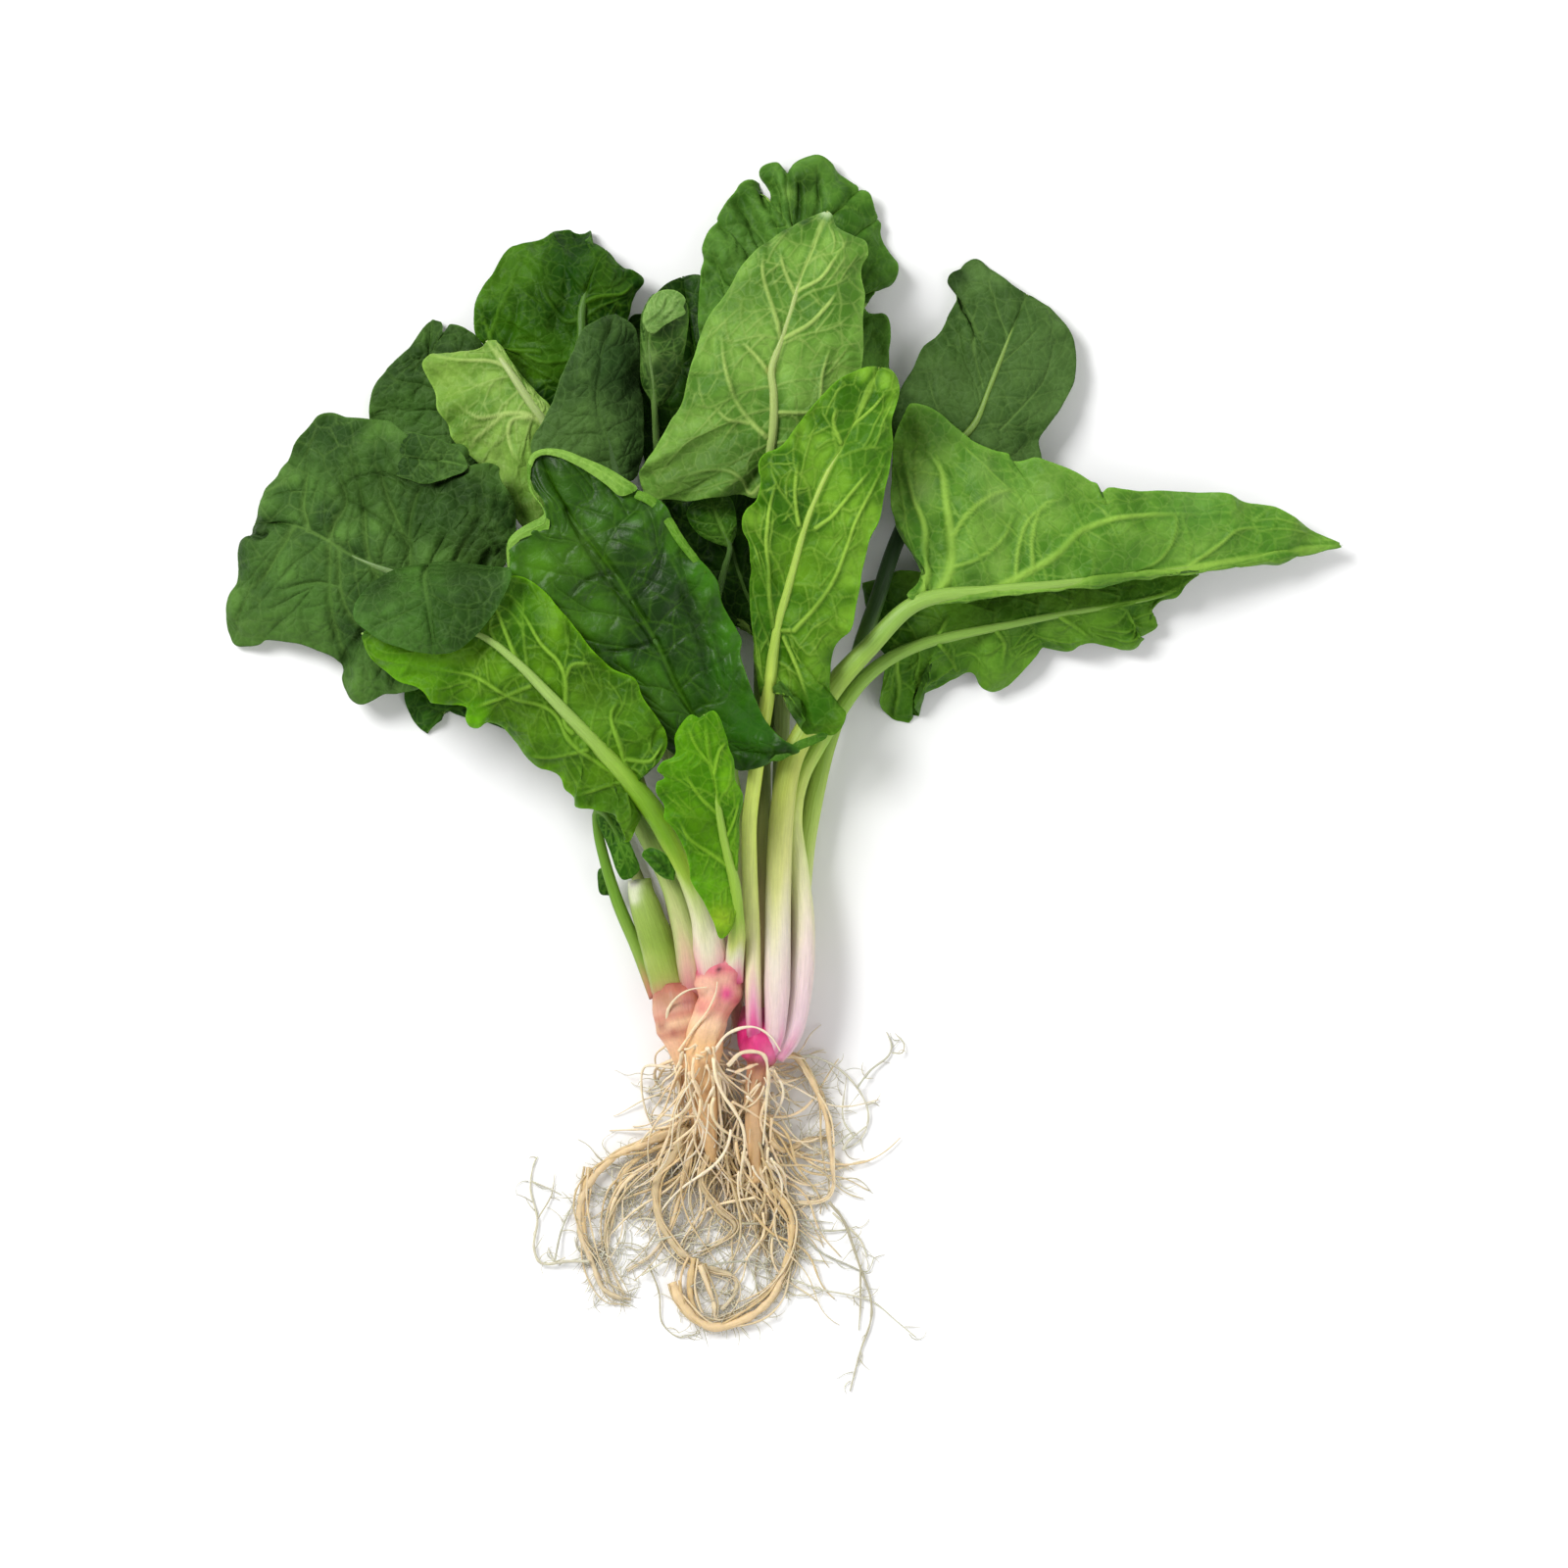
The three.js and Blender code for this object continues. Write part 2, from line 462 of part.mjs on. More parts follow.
const crownLeft = joined([
  rod(
    [[-32.3, -61.5 - CROWN_GAP, 9.5], [-32.3, -64, 9.5], [-32, -67, 9.5], [-31, -71, 9.5],
      [-29.5, -77, 9], [-28, -88, 7], [-28, -100, 4.5], [-34, -108, 3]],
    [[7.2, 7.8], [7.2, 7.6], [7, 7], [6.2, 6], [4.6, 4.6], [3, 3], [1.8, 1.8], [1.1, 1.1]],
    CROWN_SIDES,
    14,
  ),
  branch([[-28, -98, 5], [-34, -103, 2.6], [-44, -108, 1.8], [-54, -116, 1.5], [-58, -126, 1.3],
    [-57, -136, 1.3], [-53, -146, 1.2], [-47, -150, 1.2]], 1.4),
  branch([[-28, -92, 6], [-33, -104, 3], [-36, -115, 2], [-37, -123, 1.6], [-34, -132, 1.5],
    [-27, -140, 1.4]], 1.3),
]);

const crownFront = joined([
  rod(
    [[-19.5, -52.5 - CROWN_GAP, 17.5], [-19.5, -55.5, 17.5], [-19.6, -58.5, 17.6],
      [-20, -62, 17.8], [-23, -68, 18.5], [-24.5, -75, 19], [-24.5, -86, 17], [-23, -98, 12],
      [-21, -108, 8]],
    [[7.8, 8.8], [7.8, 8.6], [7.4, 7.8], [6.6, 6.4], [4.4, 4.4], [4, 4], [3.3, 3.3], [2.4, 2.4],
      [1.3, 1.3]],
    CROWN_SIDES,
    14,
  ),
  branch([[-23, -94, 14], [-20, -105, 9], [-17, -118, 5], [-12, -130, 3.5], [-4, -138, 3],
    [0, -146, 2.2], [-8, -154, 1.5], [-18, -158, 1.2], [-26, -152, 1.2], [-27, -144, 4.6]], 1.3),
]);

const crownRight = joined([
  rod(
    [[-5, -72.5 - CROWN_GAP, 13.8], [-5, -75, 13.8], [-5.3, -77, 13.6], [-6.3, -80, 13],
      [-8, -84, 12], [-9, -92, 11], [-8.5, -104, 9], [-8, -116, 6]],
    [[9.8, 9.4], [9.7, 9.2], [9, 8.6], [7, 7], [3.6, 3.6], [3.2, 3.2], [2.8, 2.8], [1.4, 1.4]],
    CROWN_SIDES,
    14,
  ),
  branch([[-7, -83, 12], [0, -81, 9], [6, -85, 5], [10, -93, 2.5], [13, -103, 1.5],
    [14, -113, 1.3], [12, -121, 1.3], [3, -122, 4.8]], 1.2),
  branch([[-8.5, -106, 9], [-2, -118, 6], [3, -126, 3], [14, -121, 1.4], [20, -130, 1.2],
    [23, -143, 1.1], [25, -152, 1.1], [22, -166, 1], [19, -177, 1]], 1.1),
]);

const NODES = {
  leaf_front_upright: [frontUpright, LEAF_PALE],
  leaf_front_dark: [frontDark, LEAF_DARK],
  leaf_front_left: [frontLeft, LEAF_GREEN],
  leaf_young_front: [youngFront, LEAF_PALE],
  leaf_left_broad: [leftBroad, LEAF_DARK],
  leaf_centre_pale: [centrePale, LEAF_PALE],
  leaf_centre_matte: [centreMatte, LEAF_DARK],
  leaf_rolled_young: [rolledYoung, LEAF_PALE],
  leaf_small_oval: [smallOval, LEAF_DARK],
  leaf_top: [topLeaf, LEAF_GREEN],
  leaf_upper_left: [upperLeft, LEAF_GREEN],
  leaf_upper_right: [upperRight, LEAF_DARK],
  leaf_yellow: [yellow, LEAF_PALE],
  leaf_pointing_right: [pointingRight, LEAF_GREEN],
  leaf_lower_right: [lowerRight, LEAF_GREEN],
  leaf_back_centre: [backCentre, LEAF_DARK],
  leaf_back_left: [backLeft, LEAF_DARK],
  leaf_back_low: [backLow, LEAF_DARK],
  leaf_thin_left: [thinLeft, LEAF_GREEN],
  stalk_broken: [cutStalk, LEAF_PALE],
  crown_left: [crownLeft, ROOT_TAN],
  crown_front: [crownFront, CROWN_PINK],
  crown_right: [crownRight, CROWN_PINK],
};

const bunch = new THREE.Group();
bunch.name = "spinach_bunch";
for (const [name, [geometry, color]] of Object.entries(NODES)) {
  const mesh = new THREE.Mesh(
    geometry,
    new THREE.MeshStandardMaterial({ color, roughness: 0.55, metalness: 0 }),
  );
  geometry.translate(-CENTRE.x, -CENTRE.y, -CENTRE.z);
  mesh.name = name;
  bunch.add(mesh);
}

export default bunch;
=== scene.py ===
"""The looks of a bunch of root-on spinach that lies on a table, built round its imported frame.

Lengths in the tables are millimetres, drawn about a point near the middle of the bunch: +X right,
+Y towards the leaf tips, +Z up from the table. ORIGIN carries them onto the frame. A table is text,
with its rows parted by commas. A table of lines is text too: "x y, x y, ...: numbers; ...".
"""

import bpy
import numpy as np
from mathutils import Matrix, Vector


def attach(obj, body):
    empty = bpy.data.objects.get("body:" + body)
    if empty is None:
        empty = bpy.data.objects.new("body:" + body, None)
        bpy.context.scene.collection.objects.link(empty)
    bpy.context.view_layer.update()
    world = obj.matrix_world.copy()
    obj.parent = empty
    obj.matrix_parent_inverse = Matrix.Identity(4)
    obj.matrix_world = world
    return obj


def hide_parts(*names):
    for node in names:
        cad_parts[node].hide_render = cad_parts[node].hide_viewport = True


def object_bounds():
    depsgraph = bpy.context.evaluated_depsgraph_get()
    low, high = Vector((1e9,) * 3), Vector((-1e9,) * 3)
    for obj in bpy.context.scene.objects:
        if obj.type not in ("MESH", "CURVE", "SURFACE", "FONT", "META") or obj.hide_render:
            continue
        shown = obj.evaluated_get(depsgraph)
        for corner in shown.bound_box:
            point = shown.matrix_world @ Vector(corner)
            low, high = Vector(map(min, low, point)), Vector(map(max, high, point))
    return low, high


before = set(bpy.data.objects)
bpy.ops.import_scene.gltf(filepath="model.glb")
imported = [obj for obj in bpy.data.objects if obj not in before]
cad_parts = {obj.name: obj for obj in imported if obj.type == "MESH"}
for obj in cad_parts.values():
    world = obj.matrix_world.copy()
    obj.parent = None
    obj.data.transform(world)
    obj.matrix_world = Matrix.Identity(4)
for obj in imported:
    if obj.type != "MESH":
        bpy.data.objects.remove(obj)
cad_low, cad_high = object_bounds()

MM = 0.001
DRAWN_MIDDLE = np.array([-0.94, -0.67, 0.01])  # middle of the outlines' own box, as drawn
ORIGIN = np.array([*((cad_low + cad_high) / 2)[:2], 0.0]) / MM - DRAWN_MIDDLE

FULL_DETAIL = (250, 84)  # stations along a blade, and columns each side of its rib
MIDDLE_DETAIL = (190, 60)
PLAIN_DETAIL = (170, 42)
BACK_SKIP = 3  # the hidden face keeps every third column
VEIN_SPREAD = 0.62  # the half width of a vein's soft profile over its drawn width
VEIN_SINK = 0.4  # how far a vein sinks into the upper face, and stands out of the underside
CELL_PUFF = 0.9  # how far the upper face puffs up between the veins
CELL_REACH = 2.2  # the distance from a vein over which it does
NET_PUFF = 0.3  # the same inside the small cells
NET_FLAT = 0.45  # value of cell_field from which a small cell's top is flat
GROWN_ALONE = (0.3, 0.6)  # distance added to a grown vein's, and its strength
GROWN_BESIDE_DRAWN = (1.2, 0.45)  # the same on a leaf that has drawn veins too
SLOW_WAVE = (24, 0.8)  # wavelength and height
QUICK_WAVE = (10, 0.2)
MARGIN_WAVE = (15, 1.1)
MARGIN_FRILL = (6, 0.5)
BROAD_DRIFT = (34, 0.6)  # of the colour
SMALL_DRIFT = (13, 0.4)
DRIFT_GAIN = 1.7
SIDE_VEIN = (0.6, 0.4)  # half widths of a grown vein at its start and end
VEIN_BRANCH = (0.42, 0.36)
UNDER_GAP = 0.05  # nothing is lower than this above the table
SLIM_WIDTH = 14.0  # a blade narrower than this has less relief
RIB_SINK = 0.9  # how far the rib sinks into the blade by its tip
STAGE_TRIM = 0.76  # the lights are set so that a white table is a little over white
LEAF_TRIM = {  # takes the coolness of the sky out of each kind of green
    "glossy_leaf": (0.86, 1.06, 0.2), "green_leaf": (0.93, 1.05, 0.58),
    "matte_leaf": (0.92, 1.0, 0.72), "pale_leaf": (0.98, 1.08, 0.78),
}
BLADE_THICKNESS = 0.5
RIM_THICKNESS = 0.3
RIB_BIAS = 1.35  # above 1, the basal lobes fan out from a shorter piece of rib
COLUMN_BIAS = 1.25  # above 1, the columns crowd towards the rib
STALK_SIDES = 24
STALK_STEP = 1.3  # between a stalk's sections
STALK_FLAT = 0.8  # height of a stalk's section over its width
STALK_FLUTES = 11
STALK_REST = 0.9  # a stalk lies at least this share of its half height above the table
STALK_GRAIN, CROWN_GRAIN = 0.06, 0.2  # length along the grain for each millimetre
CROWN_SIDES = 40
CROWN_STEP = 0.8
CROWN_RIDGES, RIDGE_DEPTH, CROWN_LUMPS = 7, 0.035, 0.05
FAR = 7.0  # beyond this distance a vein no longer pulls on the blade

# ------------------------------------------------------------------------- numbers and curves


def points(text):
    """Turns "x y z, x y z" into an array with one row for each point or table row."""
    return np.array([[float(v) for v in row.split()] for row in text.split(",") if row.strip()])


def drawn_lines(text):
    """Turns "x y, x y: a b; ..." into a (line, a, b) for each line."""
    parts = [row.split(":") for row in text.split(";") if row.strip()]
    return [(points(line), *(float(v) for v in numbers.split())) for line, numbers in parts]


def colour(display):
    """Linear colours from display values of 0 to 255: ((c + 0.055) / 1.055) to the power 2.4."""
    c = np.asarray(display) / 255
    return np.where(c <= 0.04045, c / 12.92, ((c + 0.055) / 1.055) ** 2.4)


def spline(p, spans=8):
    """Centripetal Catmull-Rom curve through the rows of p: each span blends the three straight
    lines through its four nearest points, with knots a square root of a chord apart."""
    p = p[np.r_[True, np.linalg.norm(np.diff(p, axis=0), axis=1) > 1e-6]]
    q = np.vstack([2 * p[0] - p[1], p, 2 * p[-1] - p[-2]])
    knots = np.r_[0, np.cumsum(np.linalg.norm(np.diff(q, axis=0), axis=1) ** 0.5)]
    i = np.repeat(np.arange(len(p) - 1), spans)
    share = np.tile(np.arange(spans) / spans, len(p) - 1)[:, None]
    t0, t1, t2, t3 = (knots[i + k][:, None] for k in range(4))
    p0, p1, p2, p3 = (q[i + k] for k in range(4))
    t = t1 + share * (t2 - t1)
    a1 = ((t1 - t) * p0 + (t - t0) * p1) / (t1 - t0)
    a2 = ((t2 - t) * p1 + (t - t1) * p2) / (t2 - t1)
    a3 = ((t3 - t) * p2 + (t - t2) * p3) / (t3 - t2)
    b1 = ((t2 - t) * a1 + (t - t0) * a2) / (t2 - t0)
    b2 = ((t3 - t) * a2 + (t - t1) * a3) / (t3 - t1)
    return np.vstack([((t2 - t) * b1 + (t - t1) * b2) / (t2 - t1), p[-1]])


def run(line):
    """Length along a polyline at each of its points."""
    return np.r_[0, np.cumsum(np.linalg.norm(np.diff(line, axis=0), axis=1))]


def along(line, share):
    """Points of a polyline at these shares of its length."""
    s = run(line)
    return np.stack([np.interp(share * s[-1], s, line[:, k]) for k in range(line.shape[1])], -1)


def ripple(p, wavelength, seed, waves=9):
    """Sum of sine waves over x and y, each with its own heading, length and phase: about -1 to 1."""
    rng = np.random.default_rng(seed)
    heading = rng.uniform(0, 2 * np.pi, waves)
    k = 2 * np.pi / wavelength * rng.uniform(0.6, 1.5, waves)
    phase = rng.uniform(0, 2 * np.pi, waves)
    across = p[..., 0, None] * np.cos(heading) + p[..., 1, None] * np.sin(heading)
    return np.sin(across * k + phase).sum(-1) / np.sqrt(waves)


def two_ripples(p, slow, quick, seed):
    """Two ripples, each given as wavelength and height."""
    return slow[1] * ripple(p, slow[0], seed) + quick[1] * ripple(p, quick[0], seed + 1)


def blend(a, b, share):
    """Mixes colours a and b, row by row."""
    share = np.clip(np.asarray(share), 0, 1)[..., None]
    return a * (1 - share) + b * share


def unit(v):
    """Vectors of length 1."""
    return v / np.maximum(np.linalg.norm(v, axis=-1, keepdims=True), 1e-9)


# -------------------------------------------------------------------------------- mesh making


def add_piece(name, node, slot, material, corners, quads, triangles=None, **attributes):
    """One smooth mesh from corner points in drawn millimetres, riding on the bunch. Attributes
    with three columns are colours or vectors, and those with one are plain numbers."""
    if triangles is None:
        triangles = np.zeros((0, 3), int)
    mesh = bpy.data.meshes.new(name)
    mesh.vertices.add(len(corners))
    mesh.vertices.foreach_set("co", ((corners + ORIGIN) * MM).astype(np.float32).ravel())
    loops = np.concatenate([quads.ravel(), triangles.ravel()]).astype(np.int32)
    starts = np.concatenate(
        [np.arange(len(quads)) * 4, len(quads) * 4 + np.arange(len(triangles)) * 3]
    )
    mesh.loops.add(len(loops))
    mesh.loops.foreach_set("vertex_index", loops)
    mesh.polygons.add(len(starts))
    mesh.polygons.foreach_set("loop_start", starts.astype(np.int32))
    mesh.polygons.foreach_set("use_smooth", np.ones(len(starts), bool))
    for key, values in attributes.items():
        if values.ndim == 1:
            data = mesh.attributes.new(key, "FLOAT", "POINT").data
            data.foreach_set("value", values.astype(np.float32))
        elif key == "tint":
            data = mesh.attributes.new(key, "FLOAT_COLOR", "POINT").data
            opaque = np.hstack([values * STAGE_TRIM, np.ones((len(values), 1))])
            data.foreach_set("color", opaque.astype(np.float32).ravel())
        else:
            data = mesh.attributes.new(key, "FLOAT_VECTOR", "POINT").data
            data.foreach_set("vector", values.astype(np.float32).ravel())
    mesh.update(calc_edges=True)
    mesh.validate()
    mesh.materials.append(material)
    piece = bpy.data.objects.new(name, mesh)
    bpy.context.scene.collection.objects.link(piece)
    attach(piece, "root")
    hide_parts(node)
    return piece


def skin_quads(rings, sides):
    """Quads between neighbouring rings of a closed skin."""
    a = (np.arange(rings - 1)[:, None] * sides + np.arange(sides)).ravel()
    b = (np.arange(rings - 1)[:, None] * sides + (np.arange(sides) + 1) % sides).ravel()
    return np.stack([a, b, b + sides, a + sides], -1)


def frames(line):
    """Heading, sideways (level) and upward directions along a polyline."""
    heading = unit(np.gradient(line, axis=0))
    side = unit(np.stack([-heading[:, 1], heading[:, 0], np.zeros(len(line))], -1))
    return heading, side, np.cross(heading, side)


def tube(line, half, high, sides, flutes=0, flute_depth=0.0, lumps=0.0, seed=0):
    """Closed tube along a polyline: at angle a a section is half * cos a sideways and high * sin a
    upward, times 1 + flute_depth * cos(flutes * a) and a low random swell. Each end is a fan.
    Gives corners, quads, triangles, and each corner's share of the length and its angle."""
    _, side, up = frames(line)
    angle = np.arange(sides) * 2 * np.pi / sides
    share = run(line) / run(line)[-1]
    swell = 1 + flute_depth * np.cos(flutes * angle)[None, :]
    if lumps:
        place = np.stack(
            [run(line)[:, None] + 0 * angle, 4 * np.cos(angle)[None, :] + 0 * share[:, None]], -1
        )
        swell = swell + lumps * ripple(place, 9, seed)
    ring = (
        line[:, None, :]
        + (half[:, None] * np.cos(angle) * swell)[..., None] * side[:, None, :]
        + (high[:, None] * np.sin(angle) * swell)[..., None] * up[:, None, :]
    )
    n = len(line)
    corners = np.vstack([ring.reshape(-1, 3), line[0], line[-1]])
    k = np.arange(sides)
    first = np.stack([np.full(sides, n * sides), (k + 1) % sides, k], -1)
    last = np.stack(
        [np.full(sides, n * sides + 1), (n - 1) * sides + k, (n - 1) * sides + (k + 1) % sides], -1
    )
    shares = np.r_[np.repeat(share, sides), 0, 1]
    angles = np.r_[np.tile(angle, n), 0, 0]
    return corners, skin_quads(n, sides), np.vstack([first, last]), shares, angles


def spots_on(tint, corners, spots):
    """Mixes soft round spots into a tint: colour marks, and on some leaves painted highlights and
    painted shadows. Each row is x, y, radius, red, green, blue, strength.
    """
    for x, y, radius, *paint, strength in points(spots):
        reach = np.hypot(corners[:, 0] - x, corners[:, 1] - y) / radius
        tint = blend(tint, colour(paint), strength * np.exp(-(reach**2)))
    return tint


def tint_along(shares, stops):
    """Colours at these shares of a length. Each row of stops is share, red, green, blue."""
    stops = points(stops)
    paint = colour(stops[:, 1:])
    return np.stack([np.interp(shares, stops[:, 0], paint[:, k]) for k in range(3)], -1)


# ---------------------------------------------------------------------------------- materials


def node_group(name, inputs, outputs):
    """An empty shader node group with these sockets, as (name, kind, value)."""
    group = bpy.data.node_groups.new(name, "ShaderNodeTree")
    for label, kind, value in inputs:
        socket = group.interface.new_socket(label, in_out="INPUT", socket_type=kind)
        socket.default_value = value
    for label, kind in outputs:
        group.interface.new_socket(label, in_out="OUTPUT", socket_type=kind)
    return group, group.nodes.new("NodeGroupInput"), group.nodes.new("NodeGroupOutput")


def maths(tree, operation, a, b):
    """A Math node; a and b are sockets or numbers."""
    node = tree.nodes.new("ShaderNodeMath")
    node.operation = operation
    for socket, value in zip(node.inputs, (a, b)):
        if isinstance(value, (int, float)):
            socket.default_value = value
        else:
            tree.links.new(value, socket)
    return node.outputs[0]


def mixed(tree, factor, a, b):
    """A colour Mix node fed by three sockets."""
    node = tree.nodes.new("ShaderNodeMix")
    node.data_type = "RGBA"
    for number, value in zip((0, 6, 7), (factor, a, b)):
        tree.links.new(value, node.inputs[number])
    return node.outputs[2]


def noise(tree, vector, scale, detail=3.0, roughness=0.55):
    """A noise value; the scale is a socket or a number."""
    node = tree.nodes.new("ShaderNodeTexNoise")
    node.inputs["Detail"].default_value = detail
    node.inputs["Roughness"].default_value = roughness
    tree.links.new(vector, node.inputs["Vector"])
    if isinstance(scale, (int, float)):
        node.inputs["Scale"].default_value = scale
    else:
        tree.links.new(scale, node.inputs["Scale"])
    return node.outputs[0]


def attribute(tree, name, output):
    """One of a piece's own attributes."""
    node = tree.nodes.new("ShaderNodeAttribute")
    node.attribute_name = name
    return node.outputs[output]


def shades(tree, value, tint, spread):
    """Darkens and lightens a tint by a value round one half: tint * (1 + spread * (value - 0.5))."""
    offset = maths(tree, "SUBTRACT", value, 0.5)
    gain = maths(tree, "ADD", maths(tree, "MULTIPLY", offset, spread), 1)
    node = tree.nodes.new("ShaderNodeVectorMath")
    node.operation = "SCALE"
    tree.links.new(tint, node.inputs[0])
    tree.links.new(gain, node.inputs["Scale"])
    return node.outputs[0]


BROAD_MOTTLE, FINE_MOTTLE = 90.0, 900.0  # noise scales, per metre
NET_BEND, NET_PATCHES, SPECKS = 160.0, 120.0, 700.0
BEND_REACH = 0.003  # how far the net's lines wander, in metres
NET_LINE = 0.1  # share of a cell over which a net line fades out
CELL_TOP = 0.35  # share of a cell at which its bump is flat


def leaf_skin_group():
    """Leaf surface: the tint mottled at two sizes, a net of the finest veins, cell-sized bumps
    between them, and a gloss that varies over the blade."""
    group, inside, outside = node_group(
        "leaf_skin",
        [
            ("Mottle", "NodeSocketFloat", 0.5),
            ("Net", "NodeSocketFloat", 0.3),
            ("Net Scale", "NodeSocketFloat", 300.0),
            ("Net Colour", "NodeSocketColor", (0.3, 0.45, 0.12, 1)),
            ("Roughness", "NodeSocketFloat", 0.5),
        ],
        [
            ("Colour", "NodeSocketColor"),
            ("Roughness", "NodeSocketFloat"),
            ("Height", "NodeSocketFloat"),
        ],
    )
    place = group.nodes.new("ShaderNodeTexCoord").outputs["Object"]
    tint = attribute(group, "tint", "Color")
    vein = attribute(group, "vein", "Fac")
    broad = noise(group, place, BROAD_MOTTLE)
    fine = noise(group, place, FINE_MOTTLE)
    colour_now = shades(group, broad, tint, inside.outputs["Mottle"])
    fine_spread = maths(group, "MULTIPLY", inside.outputs["Mottle"], 0.5)
    colour_now = shades(group, fine, colour_now, fine_spread)
    bent = group.nodes.new("ShaderNodeVectorMath")
    bent.operation = "MULTIPLY_ADD"
    wander = group.nodes.new("ShaderNodeTexNoise")
    wander.inputs["Scale"].default_value = NET_BEND
    group.links.new(place, wander.inputs["Vector"])
    group.links.new(wander.outputs["Color"], bent.inputs[0])
    bent.inputs[1].default_value = (BEND_REACH,) * 3
    group.links.new(place, bent.inputs[2])
    cells = group.nodes.new("ShaderNodeTexVoronoi")
    cells.feature = "DISTANCE_TO_EDGE"
    group.links.new(bent.outputs[0], cells.inputs["Vector"])
    group.links.new(inside.outputs["Net Scale"], cells.inputs["Scale"])
    ramp = group.nodes.new("ShaderNodeMapRange")
    ramp.interpolation_type = "SMOOTHSTEP"
    ramp.inputs["From Max"].default_value = NET_LINE
    ramp.inputs["To Min"].default_value = 1.0
    ramp.inputs["To Max"].default_value = 0.0
    group.links.new(cells.outputs["Distance"], ramp.inputs["Value"])
    line = maths(group, "MULTIPLY", ramp.outputs[0], noise(group, place, NET_PATCHES, 1.0))
    line = maths(group, "MULTIPLY", line, maths(group, "SUBTRACT", 1, vein))
    net = maths(group, "MULTIPLY", line, inside.outputs["Net"])
    colour_now = mixed(group, net, colour_now, inside.outputs["Net Colour"])
    group.links.new(colour_now, outside.inputs["Colour"])
    rough = maths(group, "ADD", inside.outputs["Roughness"], maths(group, "MULTIPLY", broad, 0.16))
    rough = maths(group, "ADD", rough, maths(group, "MULTIPLY", vein, 0.1))
    group.links.new(maths(group, "SUBTRACT", rough, 0.08), outside.inputs["Roughness"])
    puff = maths(group, "MINIMUM", cells.outputs["Distance"], CELL_TOP)
    height = maths(group, "ADD", maths(group, "MULTIPLY", puff, 1.2), maths(group, "MULTIPLY", fine, 0.5))
    group.links.new(height, outside.inputs["Height"])
    return group


def grain_group():
    """Lengthwise grain of stalks and roots: the tint streaked and speckled along the piece's own
    grain coordinate, and fine ridges."""
    group, inside, outside = node_group(
        "lengthwise_grain",
        [
            ("Streak", "NodeSocketFloat", 0.4),
            ("Speck", "NodeSocketFloat", 0.3),
            ("Grain Scale", "NodeSocketFloat", 3.0),
            ("Roughness", "NodeSocketFloat", 0.45),
        ],
        [
            ("Colour", "NodeSocketColor"),
            ("Roughness", "NodeSocketFloat"),
            ("Height", "NodeSocketFloat"),
        ],
    )
    grain = attribute(group, "grain", "Vector")
    tint = attribute(group, "tint", "Color")
    place = group.nodes.new("ShaderNodeTexCoord").outputs["Object"]
    streak = noise(group, grain, inside.outputs["Grain Scale"])
    speck = noise(group, place, SPECKS, 4.0, 0.7)
    colour_now = shades(group, streak, tint, inside.outputs["Streak"])
    colour_now = shades(group, speck, colour_now, inside.outputs["Speck"])
    group.links.new(colour_now, outside.inputs["Colour"])
    rough = maths(group, "ADD", inside.outputs["Roughness"], maths(group, "MULTIPLY", speck, 0.2))
    group.links.new(rough, outside.inputs["Roughness"])
    height = maths(group, "ADD", streak, maths(group, "MULTIPLY", speck, 0.35))
    group.links.new(height, outside.inputs["Height"])
    return group


GLOW_REACH = 0.0015  # how far light spreads inside a stalk or a root, in metres
GLOW_BY_COLOUR = (0.6, 0.8, 0.25)


def surface(name, group, bump, depth, specular, subsurface=0.0, **values):
    """A Principled material fed by a group's colour, roughness and height. bump is the strength of
    its relief and depth is the relief's height in metres."""
    material = bpy.data.materials.new(name)
    material.use_nodes = True
    tree = material.node_tree
    shader = next(n for n in tree.nodes if n.type == "BSDF_PRINCIPLED")
    shader.inputs["Specular IOR Level"].default_value = specular
    shader.inputs["Subsurface Weight"].default_value = subsurface
    shader.inputs["Subsurface Radius"].default_value = GLOW_BY_COLOUR
    shader.inputs["Subsurface Scale"].default_value = GLOW_REACH
    use = tree.nodes.new("ShaderNodeGroup")
    use.node_tree = group
    for key, value in values.items():
        use.inputs[key.replace("_", " ")].default_value = value
    relief = tree.nodes.new("ShaderNodeBump")
    relief.inputs["Strength"].default_value = bump
    relief.inputs["Distance"].default_value = depth
    tree.links.new(use.outputs["Colour"], shader.inputs["Base Color"])
    tree.links.new(use.outputs["Roughness"], shader.inputs["Roughness"])
    tree.links.new(use.outputs["Height"], relief.inputs["Height"])
    tree.links.new(relief.outputs[0], shader.inputs["Normal"])
    return material


LEAF_SKIN = leaf_skin_group()
GRAIN = grain_group()
GLOSSY_LEAF = surface(
    "glossy_leaf", LEAF_SKIN, 0.45, 0.0006, 0.18,
    Mottle=0.45, Net=0.14, Net_Scale=260.0, Net_Colour=(*colour((84, 124, 46)), 1), Roughness=0.42,
)
GREEN_LEAF = surface(
    "green_leaf", LEAF_SKIN, 0.75, 0.0006, 0.07,
    Mottle=0.5, Net=0.14, Net_Scale=260.0, Net_Colour=(*colour((130, 176, 70)), 1), Roughness=0.42,
)
MATTE_LEAF = surface(
    "matte_leaf", LEAF_SKIN, 0.85, 0.0007, 0.08,
    Mottle=0.6, Net=0.22, Net_Scale=300.0, Net_Colour=(*colour((100, 132, 74)), 1), Roughness=0.55,
)
PALE_LEAF = surface(
    "pale_leaf", LEAF_SKIN, 0.75, 0.0006, 0.11,
    Mottle=0.5, Net=0.17, Net_Scale=280.0, Net_Colour=(*colour((165, 195, 105)), 1), Roughness=0.46,
)
STALK_SKIN = surface(
    "stalk_skin", GRAIN, 0.4, 0.0005, 0.3, subsurface=0.15,
    Streak=0.45, Speck=0.12, Grain_Scale=2.4, Roughness=0.3,
)
